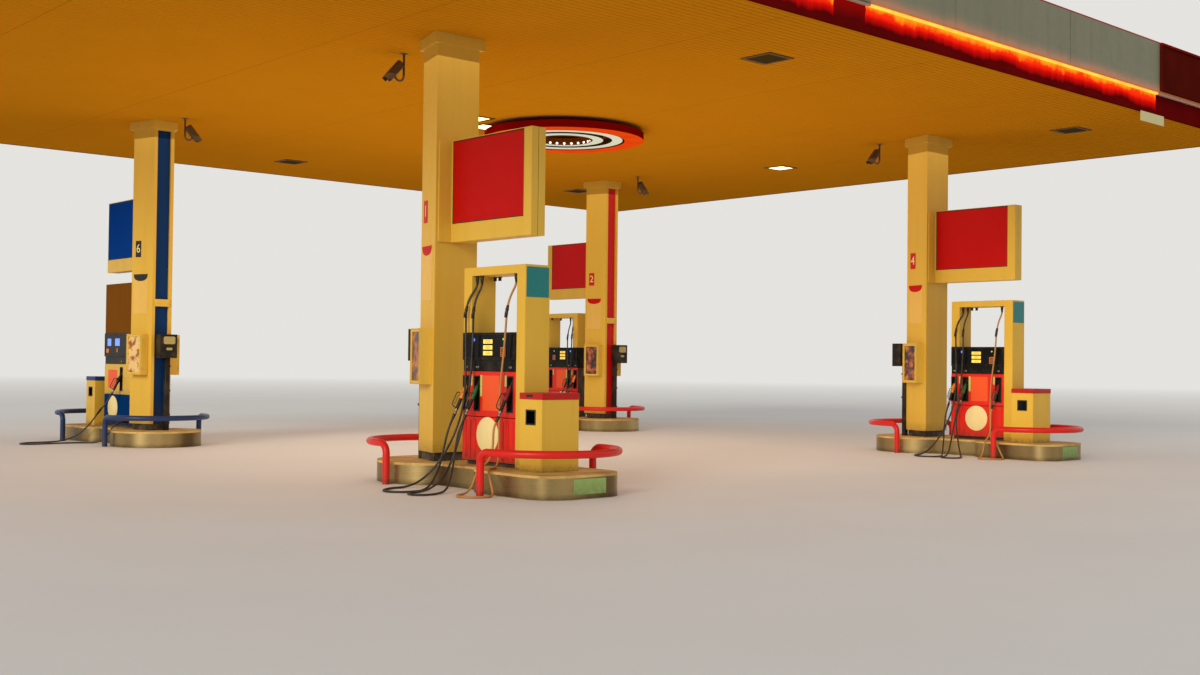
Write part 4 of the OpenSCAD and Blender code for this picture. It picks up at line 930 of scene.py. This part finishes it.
heads = [Build() for _ in range(9)]
bezels, glasses, readouts, digits, keys, pads, blues, greens, knobs = heads
for island, side in round_islands(*heads, sides=BOTH):
    if island == FAR_LEFT:
        bezels.frame((HEAD, 1.044, 1.6685), -Y, Z, (1.176, 0.393), (1.116, 0.339), 0.006)
        glasses.box((GLASS, 0.488, 1.502), (HEAD, 1.600, 1.835), THIN)
        for y, wide in ((1.09, 0.19), (1.43, 0.15)):
            blues.box((LIGHT, y - wide / 2, 1.65), (GLASS, y + wide / 2, 1.775), THIN)
        pads.box((-0.192, 1.44, 1.53), (GLASS, 1.55, 1.60), 0.004)
        pads.box((-0.192, 1.07, 1.54), (GLASS, 1.11, 1.61), 0.004)
        knobs.turned((SILL_X, BOOTS[1], SILL_Z), -X, [(0, 0.013), (0.012, 0.013), (0.016, 0.010)])
        continue
    bezels.frame((HEAD, 1.144, 1.624), -Y, Z, (0.976, 0.306), (0.916, 0.252), 0.006)
    glasses.box((GLASS, 0.690, 1.500), (HEAD, 1.598, 1.748), THIN)
    for text, z in (("00000", 1.679), ("0000", 1.612), ("1234", 1.546)):
        readouts.box((LIGHT, 1.045, z - 0.024), (GLASS, 1.215, z + 0.024), THIN)
        number(digits, text, 1.13, z, LIGHT, 0.028, side * CORNERS[island][1])
    pads.box((-0.197, 1.375, 1.505), (GLASS, 1.465, 1.615), 0.004)
    for row, column in product(range(4), range(3)):
        y, z = 1.396 + column * 0.024, 1.522 + row * 0.024
        keys.box((-0.2005, y - 0.008, z - 0.008), (-0.197, y + 0.008, z + 0.008), 0.0012)
    blues.turned((GLASS, 0.865, 1.700), -X, [(0, 0.02), (0.006, 0.02), (0.009, 0.014)])
    greens.turned((GLASS, 1.42, 1.705), -X, [(0, 0.012), (0.006, 0.012), (0.008, 0.008)])
    for y in BOOTS:
        knob = [(0, 0.016), (0.004, 0.016), (0.006, 0.012), (0.018, 0.012), (0.022, 0.009)]
        knobs.turned((SILL_X, y, SILL_Z), -X, knob)
bezels.piece("display_bezels", "display_black")
glasses.piece("display_glasses", "camera_window", "display_black")
readouts.piece("display_readouts", "readout", "ring_glass")
digits.piece("readout_digits", "gasket", "display_black")
pads.piece("card_readers", "keypad", "poster")
keys.piece("reader_keys", "gasket", "display_black")
blues.piece("blue_lights", "blue_light", "ring_glass")
greens.piece("green_lights", "green_light", "ring_glass")
knobs.piece("sill_knobs", "screw_steel", "nozzle_metal")

# Front panels: pressed ribs on both sides; blank plates, labels and discs on the side towards -X
ribs_red, labels, discs, sheets = (Build() for _ in range(4))
for island, _ in round_islands(labels, discs, sheets):
    gas = island == FAR_LEFT
    middle = (-FRONT, 1.27, 0.585) if gas else (-FRONT, 1.13, 0.61)
    discs.turned(middle, -X, [(0, 0.205), (0.002, 0.205), (0.003, 0.203)], 64)
    if gas:
        sheets.prism(rounded(0.38, 0.32, 0.03), (-FRONT, 1.29, 1.08), -Y, Z, 0.0015)
        continue
    for y, low, wide in ((0.818, 1.17, 0.034), (1.003, 1.05, 0.036), (1.455, 1.17, 0.034)):
        labels.box((-FRONT - 0.002, y - wide / 2, low), (-FRONT, y + wide / 2, 1.295), 0.0006)
    sheets.prism(rounded(0.31, 0.40, 0.008), (-FRONT, 1.185, 1.09), -Y, Z, 0.0015)
    for side in BOTH:
        ribs_red.at = place(island, side)
        for y in (0.70, 0.79, 0.88, 1.40, 1.49, 1.58):
            ribs_red.prism(rounded(0.05, 0.44, 0.024), (-FRONT, y, 0.56), -Y, Z, 0.006)
ribs_red.piece("front_ribs_red", "front_red")
labels.piece("label_strips", "label_strip", "poster")
sheets.piece("front_plates", "front_plate", "front_red")
discs.piece("blank_discs", "pale_plate", "poster")

# Blank end plates of the near dispensers and islands, and the bins' slots
teal, greenish, slots = Build(), Build(), Build()
for island, side in round_islands(teal, greenish, slots, sides=BOTH):
    slots.frame((-0.266, BIN_Y, 0.847), -Y, Z, (0.168, 0.168), (0.136, 0.136), 0.006)
    if side < 0 and island in (NEAR_LEFT, NEAR_RIGHT):
        teal.prism(rounded(0.322, 0.339, 0.008), (0, 1.79, 2.3445), -X, Z, 0.003)
        greenish.prism(rounded(0.46, 0.165, 0.01), (0, 2.70, 0.135), -X, Z, 0.004)
teal.piece("end_plates_teal", "end_plate_teal", "poster")
greenish.piece("island_end_plates", "green_plate", "height_plate")
slots.piece("bin_slot_frames", "gasket", "plinth_dark")
pull = Build()
pull.at = place(NEAR_LEFT)
pull.prism(rounded(0.11, 0.028, 0.01), (-0.272, 2.0, 1.081), -Y, Z, 0.002)
pull.piece("lid_slot", "gasket", "plinth_dark")

# Columns: number plates and notice plates on the side towards -X, joint covers on the strips
SLOPE = math.atan(0.14 / 0.49)
SIDE_MIDDLE = 0.24
NUMBER_Z = 3.255
NUMBERS = {NEAR_LEFT: "1", FAR_LEFT: "6", FAR_RIGHT: "2", NEAR_RIGHT: "4"}
CAP = [(0.17, 0.055), (-0.17, 0.055)]
CAP += [(0.17 * t / 6, 0.015 - 0.075 * math.sqrt(1 - (t / 6) ** 2)) for t in range(-6, 7)]
reds, blacks, pales, red_caps, straps = (Build() for _ in range(5))


def on_side(island, side=-1):
    """Frame of a column's sloped side: x outwards, y along the face, z up."""
    turn = Matrix.Translation((SIDE_MIDDLE, 0, 0)) @ Matrix.Rotation(-SLOPE, 4, "Z")
    return place(island, side) @ Matrix.Diagonal((-1, 1, 1, 1)) @ turn


def left_of(island):
    """Where the plates sit across the face: towards the reader's left."""
    return 0.10 if CORNERS[island][1] > 0 else -0.10


def numeral(island, text):
    """The plain number of a filling place, on its plate."""
    data = bpy.data.curves.new("number_" + text, "FONT")
    data.body = text
    data.size = 0.2
    data.extrude = 0.001
    data.align_x = data.align_y = "CENTER"
    data.materials.append(M["pale_plate"])
    made = put("number_" + text, data)
    here = on_side(island)
    out = (here.to_3x3() @ X).normalized()
    turn = Matrix((Z.cross(out), Z, out)).transposed()
    made.matrix_world = Matrix.Translation(here @ Vector((0.0055, left_of(island), NUMBER_Z))) @ turn.to_4x4()
    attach(made, "root")


for island, _ in round_islands(straps):
    left = left_of(island)
    plates, caps = (blacks, blacks) if island == FAR_LEFT else (reds, red_caps)
    plates.at = pales.at = caps.at = on_side(island)
    plates.prism(rounded(0.13, 0.27, 0.006), (0, left, NUMBER_Z), Y, Z, 0.004)
    pales.prism(rounded(0.35, 0.66, 0.012), (0, left * 0.3, 2.51), Y, Z, 0.004)
    caps.prism(CAP, (0.004, left * 0.3, 2.78), Y, Z, 0.002)
    if CORNERS[island][1] > 0:
        straps.box((-0.125, -0.262, 2.30), (0.125, -0.232, 2.42), 0.004)
        straps.box((-0.135, -0.268, 2.345), (0.135, -0.255, 2.375), 0.003)
reds.piece("number_plates_red", "strip_red")
blacks.piece("number_plate_black", "gasket", "plinth_dark")
pales.piece("notice_plates", "notice_plate", "poster")
red_caps.piece("notice_caps", "sign_red")
straps.piece("strip_joint_covers", "case_frame", "cladding")
for island, text in NUMBERS.items():
    numeral(island, text)

# Poster cases: door joint, hinges and lock
CASE_X, CASE_Z = 0.15, 1.505
joints, fixings = Build(), Build()
for island, side in round_islands(sides=BOTH):
    joints.at = fixings.at = on_side(island, side)
    joints.frame((CASE_X, 0, CASE_Z), Y, Z, (0.336, 0.646), (0.330, 0.640), 0.0015)
    for z in (1.28, 1.73):
        fixings.turned((0.13, -0.183, z - 0.025), Z, [(0, 0.006), (0.05, 0.006)], 12)
    fixings.turned((CASE_X, 0.159, CASE_Z), X, [(0, 0.007), (0.004, 0.007), (0.005, 0.005)], 16)
joints.piece("case_door_joints", "gasket", "plinth_dark")
fixings.piece("case_fixings", "screw_steel", "nozzle_metal")

# Service boxes: windows on the far columns, pale with a painted reflection, and the duct down to each island
STRIP_Y, DOOR_Y = -0.246, -0.4025
windows, ducts = Build(), Build()
for island in ISLANDS:
    ducts.at = place(island) @ Matrix.Translation((DUCT_X[island], 0, 0))
    ducts.box((-0.04, -0.325, 0.257), (0.04, STRIP_Y, 1.450), 0.008)
    for z in (0.5, 0.9, 1.3):
        ducts.box((-0.05, -0.331, z), (0.05, STRIP_Y, z + 0.03))
    if CORNERS[island][1] > 0:
        windows.at = place(island) @ Matrix.Translation((SERVICE_X[island] + 0.02, 0, 0))
        windows.prism(rounded(0.20, 0.125, 0.03), (0, DOOR_Y, 1.742), X, Z, 0.004)
        windows.prism(rounded(0.10, 0.04, 0.01), (0, DOOR_Y, 1.60), X, Z, 0.004)
windows.piece("service_windows", "window_painted_reflection", "service_dark")
ducts.piece("service_ducts", "service_dark")

# Sign boxes: dark gaskets in the joint at the outer end and round the faces, in their rebate
SIGN_Z, GAS_LIFT = 2.87, 0.065
gaskets, rims = Build(), Build()
for island, side in round_islands(gaskets, rims, sides=BOTH):
    gas = island == FAR_LEFT
    low = SIGN_Z + (GAS_LIFT if gas else 0)
    if side < 0:
        gaskets.box((-0.0036, 1.7725, low + 0.001), (0.0036, 1.776, low + 1.219), 0.0006)
    start, end = 0.285, 1.78 if gas else 1.64
    wide, high = end - start - 0.002, 0.990
    middle = (-0.092, (start + end) / 2, low + 0.716)
    rims.frame(middle, -Y, Z, (wide, high), (wide - 0.024, high - 0.024), 0.0015)
gaskets.piece("sign_gaskets", "gasket", "plinth_dark")
rims.piece("sign_face_gaskets", "gasket", "plinth_dark")

# Soffit slats with a joint between each two, cut round the columns and the lamps
SLAT_LOW, SLAT_HIGH = 5.3715, 5.3765
blocks = [(x - 0.24, x + 0.24, y - 0.24, y + 0.24) for x, y in LAMPS]
for island in ISLANDS:
    cx, cy, _ = place(island).translation
    blocks.append((cx - 0.2, cx + 0.2, cy - 0.24, cy + 0.24))
slats = Build()
row = -HALF_Y
while row < HALF_Y - 0.02:
    low, high = row + 0.005, min(row + PITCH_SLAT - 0.005, HALF_Y)
    cuts = sorted((x0, x1) for x0, x1, y0, y1 in blocks if y0 < high and y1 > low)
    start = -HALF_X
    for x0, x1 in cuts + [(HALF_X, HALF_X)]:
        if x0 - start > 0.05:
            slats.box((start, low, SLAT_LOW), (x0, high, SLAT_HIGH), 0.0015)
        start = max(start, x1)
    row += PITCH_SLAT
slats.piece("soffit_slats", "soffit_metal")

# Ring light: a row of small spots round its inner wall
SPOTS, SPOT_RADIUS = 22, 0.447
spots = Build()
for k in range(SPOTS):
    a = math.tau * k / SPOTS
    outwards = Vector((math.cos(a), math.sin(a), 0))
    at = Vector((*RING, 5.212)) + outwards * SPOT_RADIUS
    spots.turned(at, -outwards, [(0, 0.02), (0.012, 0.02), (0.016, 0.014)], 20)
spots.piece("ring_spots", "ring_spot", "ring_glass")

# Ceiling cameras: cranked rods, bodies under sun hoods
ROD = [(0, 0, -0.01), (0, 0, -0.28), (0.006, 0, -0.318), (0.022, 0, -0.344), (0.05, 0, -0.357),
       (0.085, 0, -0.35), (0.112, 0, -0.325), (0.118, 0, -0.29)]
HOOD = [(-0.056, -0.012), (-0.052, -0.012), (-0.052, 0.038), (-0.04, 0.05), (0.04, 0.05), (0.052, 0.038),
        (0.052, -0.012), (0.056, -0.012), (0.056, 0.04), (0.042, 0.055), (-0.042, 0.055), (-0.056, 0.04)]
housings, windows, arms = Build(), Build(), Build()
for x, y, heading in CAMERAS:
    arms.at = Matrix.Translation((x, y, SOFFIT_Z)) @ Matrix.Rotation(math.radians(heading), 4, "Z")
    arms.turned((0, 0, 0), -Z, [(0, 0.055), (0.006, 0.055), (0.012, 0.032), (0.02, 0.022)])
    arms.tube(ROD, 0.015)
    tilt = Matrix.Translation((0.13, 0, -0.244)) @ Matrix.Rotation(math.radians(50), 4, "Y")
    housings.at = windows.at = arms.at @ tilt
    housings.prism(rounded(0.098, 0.09, 0.026), (-0.132, 0, -0.004), Y, Z, 0.262)
    housings.prism(HOOD, (-0.142, 0, 0), Y, Z, 0.305)
    windows.prism(rounded(0.082, 0.072, 0.02), (0.130, 0, -0.004), Y, Z, 0.004)
    windows.turned((0.134, 0, -0.004), X, [(0, 0.028), (0.006, 0.028), (0.007, 0.02)])
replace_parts(housings.piece("camera_housings", "camera_grey"), "ceiling_cameras")
windows.piece("camera_windows", "camera_window", "camera_grey")
arms.piece("camera_arms", "camera_grey")

# Solids whose edges are rounded a little, so that they catch the light, and how much
SOFTENED = {
    0.003: "sign_boxes",
    0.004: "column_plinths poster_cases service_boxes red_front_panels blue_front_panels gas_upper_panels "
           "bins name_panel",
    0.005: "display_heads",
    0.006: "column_cladding column_capitals gas_housing red_bin_lids blue_bin_lid",
    0.007: "dispenser_frames",
    0.008: "islands",
}
for width, names in SOFTENED.items():
    for name in names.split():
        modifiers = nodes[name].modifiers
        modifiers.new("weld", "WELD").merge_threshold = 0.0002
        bevel = modifiers.new("edges", "BEVEL")
        bevel.width = width
        bevel.segments = 2
        bevel.limit_method = "ANGLE"
        bevel.angle_limit = math.radians(35)
        modifiers.new("normals", "WEIGHTED_NORMAL")

# Floor, backdrop and light

BACKDROP = (0.78, 0.77, 0.74)
FLOOR_HALF = 260
FADE_START, FADE_END = 26, 90


def floor():
    """Pale floor that fades into the backdrop, for the camera alone."""
    mesh = bpy.data.meshes.new("floor")
    corners = [(a * FLOOR_HALF, b * FLOOR_HALF, 0) for a, b in ((-1, -1), (1, -1), (1, 1), (-1, 1))]
    mesh.from_pydata(corners, [], [(0, 1, 2, 3)])
    p = Paint("floor", Roughness=0.75)
    grain = p.noise(60, 4)
    tone = p.mix(p.noise(0.35, 4), (0.62, 0.60, 0.56), (0.70, 0.68, 0.64))
    p.base(p.mix(p.times(grain, 0.2), tone, (0.5, 0.48, 0.45)))
    p.bump(grain, 0.001, 0.3)
    away = p.node("ShaderNodeVectorMath", _0=p.at)
    away.operation = "LENGTH"
    seen = p.node("ShaderNodeLightPath").outputs["Is Camera Ray"]
    far = p.times(p.span(away.outputs["Value"], FADE_START, FADE_END), seen)
    pale = p.node("ShaderNodeEmission", Color=BACKDROP, Strength=1.0)
    blend = p.node("ShaderNodeMixShader", _0=far, _1=p.shader.outputs[0], _2=pale.outputs[0])
    p.feed(p.tree.nodes["Material Output"].inputs["Surface"], blend.outputs[0])
    mesh.materials.append(p.made)
    put("floor", mesh)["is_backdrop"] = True


def sky():
    """Even light; the camera, gloss and glass see the backdrop instead."""
    scene.world = bpy.data.worlds.new("studio")
    world = Nodes(scene.world)
    light = world.tree.nodes["Background"]
    world.feed(light.inputs["Color"], (0.96, 0.97, 1.0))
    world.feed(light.inputs["Strength"], 0.6)
    pale = world.node("ShaderNodeBackground", Color=BACKDROP, Strength=1.0)
    rays = world.node("ShaderNodeLightPath").outputs
    seen = world.most(rays["Is Camera Ray"], rays["Is Glossy Ray"])
    seen = world.most(seen, rays["Is Transmission Ray"])
    blend = world.node("ShaderNodeMixShader", _0=seen, _1=light.outputs[0], _2=pale.outputs[0])
    world.feed(world.tree.nodes["World Output"].inputs["Surface"], blend.outputs[0])


def lamp(name, kind, energy, at, towards, **settings):
    data = bpy.data.lights.new(name, kind)
    data.energy = energy
    for key, value in settings.items():
        setattr(data, key, value)
    made = put(name, data)
    made.location = at
    made.rotation_mode = "QUATERNION"
    made.rotation_quaternion = (Vector(towards) - Vector(at)).to_track_quat("-Z", "Y")
    made.visible_camera = False
    made.visible_glossy = kind != "AREA"


floor()
sky()
lamp("key", "SUN", 1.8, (-34, -13, 13), (0, 0, 1), angle=math.radians(24), color=(1.0, 0.96, 0.88))
wide = {"shape": "RECTANGLE", "size": 13, "size_y": 11}
lamp("fill_under", "AREA", 420, (0, 0, 5.1), (0, 0, 0), color=(1.0, 0.93, 0.8), **wide)
wide = {"shape": "RECTANGLE", "size": 14, "size_y": 12}
lamp("fill_up", "AREA", 260, (-2, -2, 0.05), (-2, -2, 5), color=(1.0, 0.9, 0.74), **wide)

low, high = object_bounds()
{"cad": [list(cad_low), list(cad_high)], "visual": [list(low), list(high)]}
